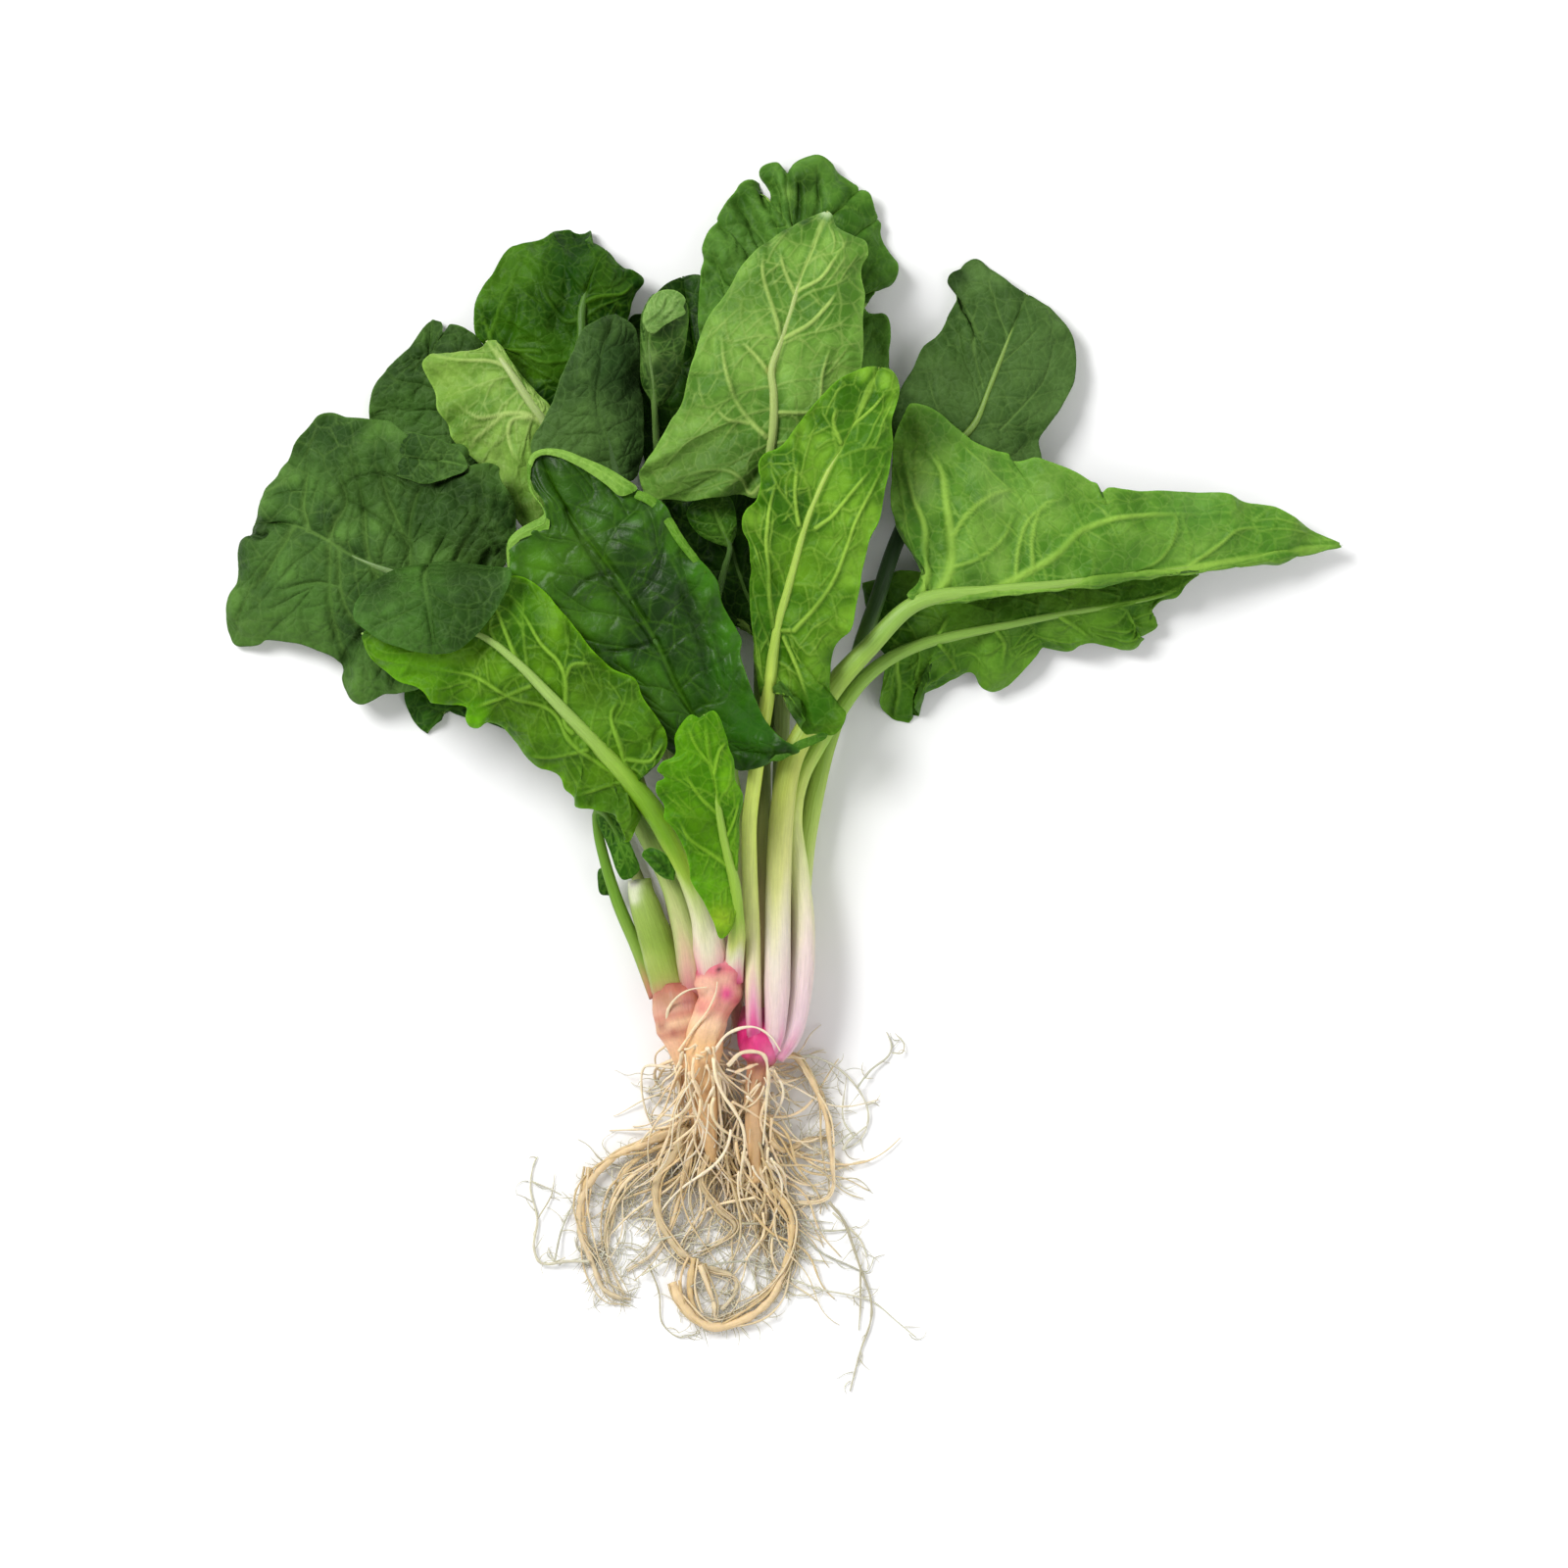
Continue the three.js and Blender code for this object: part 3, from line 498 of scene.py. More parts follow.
CROWN_SKIN = surface(
    "crown_skin", GRAIN, 0.5, 0.0005, 0.4, subsurface=0.2,
    Streak=0.35, Speck=0.4, Grain_Scale=1.2, Roughness=0.38,
)
ROOT_SKIN = surface(
    "root_skin", GRAIN, 0.4, 0.0003, 0.35, subsurface=0.15,
    Streak=0.4, Speck=0.5, Grain_Scale=1.5, Roughness=0.45,
)

# ------------------------------------------------------------------------------ leaf and stalk


def packed_heights(node, xy):
    """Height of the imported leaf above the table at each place: the mean over its six nearest
    corners, each weighted by one over the fourth power of its distance."""
    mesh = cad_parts[node].data
    corner = np.zeros(len(mesh.vertices) * 3, np.float32)
    mesh.vertices.foreach_get("co", corner)
    corner = corner.reshape(-1, 3) / MM - ORIGIN
    gap = ((xy[:, None, :] - corner[None, :, :2]) ** 2).sum(-1) + 1e-3
    near = np.argsort(gap, 1)[:, :6]
    weight = 1 / np.take_along_axis(gap, near, 1) ** 2
    return (weight * corner[near, 2]).sum(1) / weight.sum(1)


def outline(node, text):
    """Margin points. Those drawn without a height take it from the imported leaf."""
    p = points(text)
    if p.shape[1] == 2:
        p = np.column_stack([p, packed_heights(node, p)])
    return p


def vein_field(xy, veins):
    """For each place: how much it is on a vein, exp(-(distance / half width)^3), and how far it is
    from the nearest one. A vein is (line, half width at its start, at its end)."""
    on = np.zeros(len(xy))
    gap = np.full(len(xy), FAR)
    for line, wide, narrow in veins:
        close = np.flatnonzero(((xy > line.min(0) - FAR) & (xy < line.max(0) + FAR)).all(1))
        if not len(close):
            continue
        start, step = line[:-1], np.diff(line, axis=0)
        reach = xy[close][:, None, :] - start
        t = np.clip((reach * step).sum(-1) / ((step**2).sum(-1) + 1e-9), 0, 1)
        d = np.sqrt(((reach - t[..., None] * step) ** 2).sum(-1))
        k = d.argmin(1)
        nearest = d.min(1)
        share = (k + np.take_along_axis(t, k[:, None], 1)[:, 0]) / len(start)
        half = VEIN_SPREAD * (wide + (narrow - wide) * share)
        line_on = np.exp(-((nearest / half) ** 3)) * np.clip((1 - share) * 4, 0, 1)
        on[close] = np.maximum(on[close], line_on)
        gap[close] = np.minimum(gap[close], nearest)
    return on, gap


def cell_field(xy, size, seed):
    """A net of small cells round jittered seeds: the difference between the distances to the two
    nearest seeds, over the cell size. It is 0 on the net's lines."""
    rng = np.random.default_rng(seed)
    low, high = xy.min(0) - size, xy.max(0) + size
    gx, gy = np.meshgrid(np.arange(low[0], high[0], size), np.arange(low[1], high[1], size))
    seeds = np.column_stack([gx.ravel(), gy.ravel()])
    seeds = seeds + rng.uniform(-0.42, 0.42, seeds.shape) * size
    near = np.full((len(xy), 2), 1e9)
    for part in np.array_split(np.arange(len(xy)), 24):
        d = np.sqrt(((xy[part, None, :] - seeds[None]) ** 2).sum(-1))
        near[part] = np.partition(d, 1, axis=1)[:, :2]
    return (near[:, 1] - near[:, 0]) / size


def side_veins(sheet, count, slant, seed):
    """Side veins in pairs: the k-th leaves the rib near share (k + 0.6) / (count + 0.5) of its first
    nine tenths and runs out to nine tenths of the way to the margin, sliding forward by slant times
    reach to the power 1.2. Each sends out three branches."""
    rng = np.random.default_rng(seed)
    rows, columns = sheet.shape[0] - 1, (sheet.shape[1] - 1) // 2
    reach_of = (np.arange(columns + 1) / columns) ** COLUMN_BIAS

    def place(u, q, hand):
        row = np.clip(u, 0.01, 0.99) * rows
        column = columns - hand * np.interp(q, reach_of, np.arange(columns + 1))
        return sheet[row.astype(int), column.astype(int), :2]

    veins = []
    for k in range(count):
        for hand in (-1, 1):
            u0 = (k + 0.6 + rng.uniform(-0.25, 0.25)) / (count + 0.5) * 0.92
            q = np.linspace(0, 0.9, 14)
            u = u0 + slant * q**1.2 * (1 - 0.6 * u0) + 0.012 * np.sin(q * rng.uniform(5, 9))
            veins.append((place(u, q, hand), *SIDE_VEIN))
            for start in (3, 6, 9):
                turn = rng.choice([-1, 1]) if start > 3 else -1
                length = rng.uniform(0.18, 0.32)
                w = np.linspace(0, 1, 8)
                branch_q = q[start] + w * length
                branch_u = u[start] + turn * w**1.1 * length * 0.32 + slant * 0.5 * w * length
                keep = branch_q < 0.95
                if keep.sum() > 2:
                    veins.append((place(branch_u, branch_q, hand)[keep], *VEIN_BRANCH))
    return veins


def blade_sheet(rib, left, right, bulge, detail):
    """Mid-surface of a blade on a grid of stations u and reaches q: the rib's point at u^RIB_BIAS
    joined straight to the margin's point at u, and arched up by 4 * bulge * q * (1 - q)."""
    u = np.linspace(0.004, 0.994, detail[0])
    v = np.linspace(1, -1, 2 * detail[1] + 1)
    q = np.abs(v) ** COLUMN_BIAS
    middle = along(spline(rib), u**RIB_BIAS)[:, None, :]
    rims = [spline(np.vstack([rib[0], side, rib[-1]])) for side in (left, right)]
    margin = np.where((v > 0)[None, :, None], *(along(rim, u)[:, None, :] for rim in rims))
    sheet = middle + (margin - middle) * q[None, :, None]
    sheet[..., 2] += 4 * bulge * slimness(sheet) * (q * (1 - q))[None, :]
    return sheet, q


def slimness(sheet):
    """How much of its relief each station keeps: its width over SLIM_WIDTH, at most 1."""
    width = np.linalg.norm(sheet[:, 0] - sheet[:, -1], axis=-1)
    return np.clip(width / SLIM_WIDTH, 0.1, 1)[:, None]


def lowest(field, reach):
    """Smallest value within reach columns on either side."""
    padded = np.pad(field, ((0, 0), (reach, reach)), mode="edge")
    return np.min([padded[:, k : k + field.shape[1]] for k in range(2 * reach + 1)], axis=0)


def sheet_normals(sheet):
    """Upward normal of a sheet: forward difference crossed with leftward difference."""
    forward = np.gradient(sheet, axis=0)
    leftward = -np.gradient(sheet, axis=1)
    normal = unit(np.cross(forward, leftward))
    normal[np.linalg.norm(np.cross(forward, leftward), axis=-1) < 1e-9] = (0, 0, 1)
    return normal


def paint_blade(xy, palette, vein, gap, cells, reach, seed):
    """Tint of one face of a blade: body colour drifting to its light and deep shades, a painted
    highlight lightening the middle between the veins, painted shade darker beside the veins and
    along the small cells' net lines, a brighter rim, and the veins over it."""
    body, light, deep, line, rim = colour(points(palette))
    drift = DRIFT_GAIN * two_ripples(xy, BROAD_DRIFT, SMALL_DRIFT, seed)
    # painted highlight: the second term lightens the middle between the veins; the first is the random drift
    # of the tone
    lit = np.clip(drift, 0, 1) + 0.35 * (1 - np.exp(-((gap / 4) ** 2)))
    tint = blend(np.broadcast_to(body, (len(xy), 3)), light, lit)
    tint = blend(tint, deep, np.clip(-drift, 0, 0.95))
    # painted shade in the groove beside each vein
    tint = blend(tint, deep, 0.6 * np.exp(-(((gap - 0.9) / 0.8) ** 2)))
    # painted shade in the creases along the small cells' net
    tint = blend(tint, deep, 0.45 * np.exp(-((cells / 0.25) ** 2)))
    tint = blend(tint, line, 0.28 * np.exp(-((cells / 0.07) ** 2)))
    tint = blend(tint, rim, 0.5 * np.clip((reach - 0.9) / 0.1, 0, 1))
    tint = blend(tint, rim * 1.25, np.clip((reach - 0.98) / 0.015, 0, 1))
    return blend(tint, line, vein)


def add_blade(
    name, node, slot, material, rib, left, right, palette, seed, back=None, veins="", auto=(7, 0.12),
    underside=True, bulge=1.5, relief=1.0, wave=1.0, net=6.0, spots="", vein_strength=0.8,
    rib_vein=(1.6, 0.6), creases="", detail=PLAIN_DETAIL,
):
    """A leaf blade: blade_sheet pushed along its normal by its veins, the cells between them, slow
    waves and a fluted margin, and given a thickness. The face with raised veins is its underside.
    A drawn vein has its widths at its start and end, and a crease its width, depth and the
    strength of the painted shade that darkens it.
    auto is the count and slant of the side veins that are grown."""
    rib = points(rib)
    back = back or (DEEP_FACE if underside else PALE_FACE)
    sheet, q = blade_sheet(rib, outline(node, left), outline(node, right), bulge, detail)
    shape = sheet.shape[:2]
    xy = sheet[..., :2].reshape(-1, 2)
    drawn = [(spline(line), wide, thin) for line, wide, thin in drawn_lines(veins)]
    drawn.append((spline(rib)[:, :2], *rib_vein))
    own, gap = vein_field(xy, drawn)
    grown_on, grown_gap = vein_field(xy, side_veins(sheet, *auto, seed))
    further, strength = GROWN_BESIDE_DRAWN if veins else GROWN_ALONE
    gap = np.minimum(gap, grown_gap + further)
    vein = np.maximum(own, strength * grown_on)
    cells = cell_field(xy, net, seed)
    reach = np.tile(q, shape[0])
    facing = -1 if underside else 1
    fade = np.clip(reach * 12, 0, 1)
    push = facing * relief * fade * (CELL_PUFF * (1 - np.exp(-gap / CELL_REACH)) - VEIN_SINK * vein)
    push += facing * relief * fade * NET_PUFF * np.minimum(cells, NET_FLAT)
    push += relief * fade * two_ripples(xy, SLOW_WAVE, QUICK_WAVE, seed + 5)
    painted_crease_shade = np.zeros(len(xy))
    for line, width, depth, crease_shade_strength in drawn_lines(creases):
        fold, _ = vein_field(xy, [(spline(line), 1.6 * width, width)])
        push -= depth * fold
        painted_crease_shade = np.maximum(painted_crease_shade, crease_shade_strength * fold)
    flute = wave * reach**4 * two_ripples(xy, MARGIN_WAVE, MARGIN_FRILL, seed + 7)
    slim = slimness(sheet)
    push = push.reshape(shape) * slim
    sheet = sheet + sheet_normals(sheet) * push[..., None]
    sheet[..., 2] += flute.reshape(shape) * slim
    thick = BLADE_THICKNESS + (RIM_THICKNESS - BLADE_THICKNESS) * q
    normal = sheet_normals(sheet) * (thick / 2)[None, :, None]
    sheet[..., 2] = np.maximum(sheet[..., 2], BLADE_THICKNESS / 2 + UNDER_GAP)
    under = sheet - normal
    under[..., 2] = np.maximum(under[..., 2] + lowest(push, BACK_SKIP) - push, UNDER_GAP)
    rings = np.concatenate([sheet + normal, under[:, ::-BACK_SKIP]], axis=1)
    sides = rings.shape[1]
    corners = rings.reshape(-1, 3)
    j = np.arange(shape[1] - 1)
    k = np.arange((shape[1] - 1) // BACK_SKIP)
    cap = np.vstack(
        [
            np.stack([j, sides - 1 - j // BACK_SKIP, j + 1], -1),
            np.stack([sides - 1 - k, sides - 2 - k, BACK_SKIP * (k + 1)], -1),
        ]
    )
    caps = np.vstack([cap, cap[:, ::-1] + (shape[0] - 1) * sides])

    def both(top, bottom):
        """A value for each corner, from one for each place on the top and on the hidden face."""
        top, bottom = (part.reshape(*shape, -1) for part in (top, bottom))
        whole = np.concatenate([top, bottom[:, ::-BACK_SKIP]], axis=1)
        return whole.reshape(shape[0] * sides, -1)

    shown = paint_blade(xy, palette, vein_strength * vein, gap, cells, reach, seed)
    # painted shade: each crease darkens the tint towards half the deep colour
    shown = blend(shown, colour(points(palette)[2]) * 0.5, painted_crease_shade)
    shown = spots_on(shown, xy, spots)
    hidden = paint_blade(xy, back, 0.7 * vein, gap, cells, reach, seed + 3)
    add_piece(
        name, node, slot, material, corners, skin_quads(shape[0], sides), caps,
        tint=both(shown, hidden) * LEAF_TRIM[material.name], vein=both(vein, vein)[:, 0],
    )


def grain_along(girth, angles, far):
    """Grain coordinate of a tube: round its section, then how far along the grain it is."""
    return np.column_stack([girth * np.cos(angles), girth * np.sin(angles), far])


def add_stalk(name, node, slot, path, widths, stops, seed, depth=0.05, spots="", lumps=0.0):
    """A stalk that runs on as the rib of its blade: a tube with flutes of this depth, whose
    width follows widths, as share of the length and width, and whose tint follows stops."""
    line = spline(path)
    line = along(line, np.linspace(0, 1, max(8, int(run(line)[-1] / STALK_STEP))))
    share = run(line) / run(line)[-1]
    at, width = points(widths).T
    half = np.interp(share, at, width) / 2
    line[:, 2] = np.maximum(line[:, 2], half * STALK_FLAT * STALK_REST)
    corners, quads, triangles, shares, angles = tube(
        line, half, half * STALK_FLAT, STALK_SIDES, STALK_FLUTES, depth, lumps, seed
    )
    tint = tint_along(shares + 0.02 * np.cos(angles * 3 + seed), stops)
    far = shares * run(line)[-1] * STALK_GRAIN + seed * 7.3
    add_piece(
        name, node, slot, STALK_SKIN, corners, quads, triangles, tint=spots_on(tint, corners, spots),
        grain=grain_along(np.interp(shares, at, width) / 2, angles, far),
    )


def add_leaf(name, slot, material, stalk, rib, left, right, widths, stops, seed, proud=0.5, **looks):
    """A whole leaf: its blade, and its stalk and rib in one tube that sits proud of the blade."""
    node = "leaf_" + name
    add_blade(node + "_blade", node, slot, material, rib, left, right, seed=seed, **looks)
    ridge = points(rib)
    ridge[:, 2] += proud - RIB_SINK * np.linspace(0, 1, len(ridge)) ** 2
    path = np.vstack([points(stalk), ridge[1:]])
    add_stalk(node + "_stalk", node, slot, path, widths, stops, seed)


# ------------------------------------------------------------------------------------ palettes
# Each palette has five rows of red, green and blue: body, light, deep, vein, rim. Besides the
# random drift of the tone, light gives the painted highlight between the veins, and deep the painted
# shade beside the veins, along the small cells' net and in the creases.

DEEP_FACE = "58 92 34, 84 122 56, 36 66 20, 104 140 76, 70 108 44"
ROLLED_FACE = "118 160 64, 146 184 88, 90 134 42, 160 196 104, 134 174 78"
PALE_FACE = "118 152 84, 140 172 104, 96 132 64, 176 196 128, 130 164 90"

# ------------------------------------------------------------------- leaves of the right plant

add_leaf(
    "front_upright", "leaf_pale", GREEN_LEAF,
    stalk="""-7.4 -79 14.6, -8.4 -73 17.5, -8.8 -60 20, -9 -45 21, -9.8 -25 21.8, -9.8 -12 22,
        -8.3 0 22.5, -6.5 12 23.5, -4.8 22 25.5""",
    rib="""-4.8 22 25, -2 42 29, 2 57 32, 6.5 73 35, 12 86 37, 16.5 94 38, 21 103 39, 24.5 111 38.6,
        27 116.6 37.6""",
    left="""-6 22, -8.5 32, -9.7 45, -10 58, -9.8 66, -12 71.5, -10.8 76, -8 79, -7 86, -6.3 92,
        -1 94.5, 5 103, 12 110, 18 115, 23 116.8""",
    right="""-3 24, 0 27, 3 22, 4 17, 7 13, 8.5 12.7, 14 12.3, 16 14, 17.5 18, 15 22, 13 25, 13.3 31,
        14.5 37, 19 42, 20.5 49, 22 56, 23 61, 24.5 68, 27 73, 28.5 80, 30.5 88, 31 96, 30.6 101,
        32.4 107, 33 111.6, 30.6 115.8""",
    widths="0 4.4, 0.1 4.6, 0.3 4.2, 0.5 4, 0.6 2.7, 0.72 2, 0.84 1.3, 0.93 0.5, 1 0.2",
    stops="""0 232 60 140, 0.04 238 110 168, 0.07 240 178 196, 0.12 244 232 190, 0.18 242 248 160,
        0.34 262 284 142, 0.46 240 262 112, 0.56 176 208 84, 1 176 208 92""",
    detail=FULL_DETAIL, palette="86 130 30, 126 168 60, 52 98 12, 180 212 106, 110 162 44", proud=0.3,
    relief=1.1, seed=11,
    veins="""-3 43, -4 50, -4.5 60, -5 68, -4 77, -2 85: 0.9 0.5; 4 72, 3 80, 4 90: 0.8 0.4;
        16 95, 14 101, 15 105: 0.7 0.4; 9 71, 14 75, 20 82, 25 88: 0.8 0.4;
        18 98, 24 104, 29 109: 0.5 0.3; 3 42, 10 50, 14 56, 18 66, 20 72, 25 82, 29 90: 0.9 0.4;
        0 40, 5 28, 8.5 15: 0.8 0.5; -2 42, 3 42: 0.8 0.8""",
    spots="""10 20 8 30 72 6 0.9, -6 45 9 44 92 10 0.7, 14 34 5 48 96 16 0.7, -6 58 5 56 104 14 0.6,
        12 50 5 60 106 20 0.5, 22 92 14 100 150 50 0.4, 12 62 9 118 160 66 0.35,
        5 60 7 108 151 38 0.65, 8 20 7 59 113 22 0.65""",
)
add_leaf(
    "centre_pale", "leaf_pale", PALE_LEAF,
    stalk="-7.8 -73 12, -6.8 -55 12, -6 -30 12, -6 0 12.5, -6.5 30 15, -6 55 20, -5 75 25, -4.5 88 27.5",
    rib="""-4.5 88 27, -3 100 30, -3 110 31, -3.6 116 31, -1 124 31, 2 133 30, 5 143 29, 8 150 27.6,
        10 156 26.4, 12.5 161.7 25""",
    left="""-7.5 80, -12 81, -20 80, -30 78.5, -36 78, -39 79.5, -41 83, -41.3 85, -40 89, -35 97,
        -31 104, -28 112, -26 119, -22 131, -16 140, -9 150, 0 156.5, 7 160.5""",
    right="""3 88, 12 92, 20 105, 22.5 117, 22.7 130, 23.4 138, 22.5 144, 24 149, 23 153, 19 155,
        15 158, 14 160.5""",
    widths="0 4.6, 0.3 4.4, 0.6 3.8, 0.68 2.8, 0.78 2.2, 0.9 1.4, 1 0.5",
    # the darker stops from 0.2 to 0.6 are painted shade where the stalk lies below the front_upright stalk
    stops="""0 216 120 120, 0.06 226 196 150, 0.2 150 154 84, 0.4 92 124 40, 0.6 140 176 84,
        0.72 172 194 108, 1 180 200 118""",
    detail=FULL_DETAIL, palette="108 150 64, 130 168 80, 78 120 40, 184 204 124, 120 160 74", proud=0.3,
    relief=0.9, wave=0.5, seed=12,
    veins="""-1 124, -3 133, -6 143, -6 150: 0.9 0.5; 3 138, 0 145, -1 149: 0.7 0.4;
        -4 115, -8 120, -12 124: 0.9 0.4; -5 97, -10 102, -14 108, -17 118, -18 126: 1 0.5;
        -10 101, -16 102, -20 106: 0.7 0.4; 0 125, 7 129, 12 134, 15 138: 0.9 0.5;
        3 138, 10 142, 16 150: 0.8 0.4; -2 104, 9 105, 11 115, 13 122: 0.8 0.4;
        -6 84, -9 81, -12 85, -16 87.5, -22 87.5, -30 85.5, -36 84: 0.9 0.5""",
    # the small near-white spot at 12 161.4 is a painted highlight at the leaf's tip
    spots="""-20 90 10 74 108 44 0.8, -30 84 8 84 122 52 0.6, -8 88 6 64 98 34 0.7,
        -3.8 116 1.2 120 84 44 0.9, 10 98 10 86 124 52 0.5, -6 153 2.4 34 66 18 0.7,
        0 157 2.4 30 60 16 0.8, 6 159.6 2.4 30 60 16 0.8, 12 161.4 1.5 206 220 196 0.9,
        20 154 3 64 104 36 0.6, -14 108 6 90 130 50 0.5, 4 112 6 130 170 84 0.4,
        -12 135 7 101 136 58 0.65, -28 84 7 86 117 49 0.65""",
)
add_leaf(
    "top", "leaf_green", GREEN_LEAF,
    stalk="-2.4 -73 12, -1.8 -55 10.5, -1.5 -30 9, -1 0 8, 0 30 7.5, 2 60 8, 3 84 9",
    rib="3 84 9, 2 105 11, 2 125 12, 2 145 12, 2 160 10, 1 174 5",
    left="""-10 92, -20 110, -24 130, -24 145, -23 149, -23 153, -21.5 157, -19 160, -17 165,
        -14 169, -12 171, -10 171.5, -7.5 170, -6 167.5, -4 166, -4.3 170, -5.5 175, -2 177, 0 175""",
    right="""12 88, 24 98, 29.5 110, 29.8 120, 30 131.5, 29 133, 24 134, 23.5 136.5, 26 138, 28 142,
        31 144.5, 32.7 147, 30 151, 27.5 157, 27.3 160, 25.2 159.5, 26.5 161.5, 26 163, 24 168,
        22 168, 20 166, 20.8 168, 21 170, 20 170.5, 14 174, 10 177, 5 177.3, 3 176.5""",
    widths="0 4.6, 0.3 4.4, 0.6 4, 0.8 2.2, 1 0.8",
    stops="0 230 170 176, 0.1 228 216 180, 0.3 180 200 120, 0.6 120 160 74, 1 110 150 70",
    detail=MIDDLE_DETAIL, palette="76 118 48, 94 136 66, 52 90 30, 124 164 86, 88 130 56", proud=-0.9,
    underside=False, relief=1.2, seed=13, auto=(7, 0.1),
    spots="""5 170 4 26 54 8 0.85, 4 163 3 30 60 12 0.7, 1.2 168 1.6 130 164 96 0.7,
        -12 152 10 92 132 68 0.6, 24 150 6 84 126 54 0.5, -14 162 4 64 104 44 0.5""",
    creases="""4 158, 4.6 166, 4 175: 1.2 1.6 0.7; 9 160, 10 168, 8 176: 0.9 0.8 0.4;
        -10 160, -8 154, -6 150: 0.8 0.6 0.4""",
)
add_leaf(
    "upper_right", "leaf_dark", MATTE_LEAF,
    stalk="""2.8 -73 9.6, 3.6 -50 9.6, 5.2 -30 10, 6.4 -18 10, 9 -4 10, 12.2 9 10, 16.8 22 9.5,
        20 30 11.5, 22.5 39 14.5, 27 52 15.5, 32 67 14.5, 40 84 12""",
    rib="40 84 12, 48 94 12, 55 102 12, 59 112 11, 62.5 121 10, 66 130 8, 70 139 5",
    left="""34 88, 31 95, 31 103, 33.5 111, 37 117, 40 124, 44 127, 47 132, 49.5 137, 49.5 139.5,
        51 141, 48 142.5, 48 144.5, 51 146, 53 148, 55.5 149, 59 146.5, 66 141.5""",
    right="""52 80, 66 82, 73.5 88, 73.4 92, 73 97, 75.5 101, 79 106, 82 112, 83.8 119, 83.5 124,
        82 128, 77 133, 72 138""",
    widths="0 4.4, 0.15 5.4, 0.28 5.4, 0.4 4.8, 0.65 4.2, 0.78 2, 0.9 1.3, 1 0.6",
    # the dark stops at 0.56 and 0.66 are painted shadow where the stalk runs below the pointing_right leaf
    stops="""0 240 214 210, 0.12 234 240 170, 0.24 194 222 108, 0.36 158 196 74, 0.48 110 150 62,
        0.56 58 92 40, 0.66 40 70 30, 0.74 120 156 62, 1 136 168 78""",
    detail=MIDDLE_DETAIL, palette="76 106 54, 92 124 70, 58 88 40, 120 152 88, 70 102 48", proud=0.5,
    underside=False, relief=0.8, wave=0.6, seed=14,
    veins="""57 112, 55 120, 54 128, 56 138: 0.8 0.4; 62 100, 68 106, 75 115, 78 126: 0.8 0.4;
        61 118, 68 124, 74 130: 0.7 0.4; 50 98, 44 106, 41 116: 0.7 0.4;
        64 127, 61 135, 60 141: 0.7 0.4""",
    spots="""50 144 3.5 26 48 18 0.85, 40 100 9 52 84 32 0.6, 74 120 12 92 124 72 0.5,
        50 118 7 64 96 44 0.5, 48 94 6 74 114 46 0.6, 60 134 6 84 116 62 0.4, 50 115 7 68 94 48 0.65,
        48 98 7 65 96 47 0.65""",
    vein_strength=0.75,
)
add_leaf(
    "pointing_right", "leaf_green", PALE_LEAF,
    stalk="""-4.4 -80.5 14.4, -3 -76 16.6, -2.2 -68 19.4, -1.8 -55 21, -1.5 -30 21.5, -0.5 -10 21.5,
        2 5 21.5, 7 15 21.5, 14 26 22, 24 37 23.5, 38 50 25.5""",
    rib="""38 50 25, 60 53.5 24.5, 80 55.5 23, 100 58.3 20, 115 60.2 17, 135 63.6 12.4, 148 65.6 9.6,
        160.6 67 7.4""",
    left="""35 52, 38 56, 38 61, 33 67.5, 31 75, 30.5 84, 31 96, 33.5 103, 36 107, 40 106.5,
        44 104.5, 52 98.5, 59 94.5, 65 93, 67 91, 72 92, 78 90, 87 85.5, 90 81.5, 93 83.5, 104 82.5,
        118 82.5, 128 81.8, 133 79.8, 141 77.6, 146 75, 151 72.2, 156 69.4""",
    right="""45 49, 60 51, 80 53, 97 55.6, 110 57.2, 116 57.4, 120 58, 129 59.4, 138 60.8, 150 62.9,
        156 64.8, 160.4 66.6""",
    widths="""0 2.6, 0.03 5.6, 0.08 7.2, 0.2 7, 0.3 6.6, 0.4 6.4, 0.5 5, 0.56 4.2, 0.64 2.9, 0.72 2,
        0.8 1, 0.87 0.3, 1 0.12""",
    stops="""0 246 150 190, 0.03 248 210 218, 0.12 244 232 214, 0.2 230 232 148, 0.3 200 214 96,
        0.4 166 204 74, 0.5 150 192 80, 0.62 156 196 88, 1 140 182 74""",
    detail=FULL_DETAIL, palette="106 150 56, 128 168 76, 76 124 36, 164 200 92, 112 160 60", proud=0.3,
    relief=1.1, wave=0.6, seed=15, auto=(8, 0.1),
    veins="""60 53.6, 70 59, 78 64, 84 70, 92 73.5, 100 75, 112 75.5, 128 76: 2 0.6;
        112 75.5, 112 70, 108 63, 100 59: 0.7 0.4; 71 60, 71 70, 74 78, 80 80: 0.8 0.4;
        42 50, 47 58, 47.6 68, 46 80, 44.5 88, 41 93: 2.8 0.7; 48 69, 53 76, 60 81, 68 83: 1.1 0.5;
        39.6 51, 40.6 60, 40 72, 37 80, 35 88: 2 0.5; 66 57, 67 66, 70 74, 77 79: 0.8 0.5;
        115 60, 125 67, 130 71, 140 72: 0.8 0.4; 47 60, 54 62, 62 68, 66 76: 0.7 0.4""",
    # the pale spots at 40 82, 56 88, 58 70, 61 80 and 72 84 are painted highlights between the veins
    spots="""44 99 7 66 106 40 0.7, 54 57 5 48 92 16 0.8, 37 64 6 62 108 28 0.7,
        72 84 9 122 164 76 0.5, 110 70 9 110 156 60 0.5, 92 60 8 76 124 34 0.6,
        100 64 4 72 120 32 0.7, 40 82 4 126 156 90 0.6, 58 70 6 120 158 70 0.5,
        80 68 6 96 144 44 0.4, 135 68 8 84 134 44 0.5, 61 80 4 156 188 110 0.5,
        56 88 4 140 176 96 0.5, 84 78 5 86 134 44 0.5, 45 66 3 60 104 26 0.6, 118 78 9 84 138 62 0.5,
        100 64 7 82 127 44 0.65""",
)
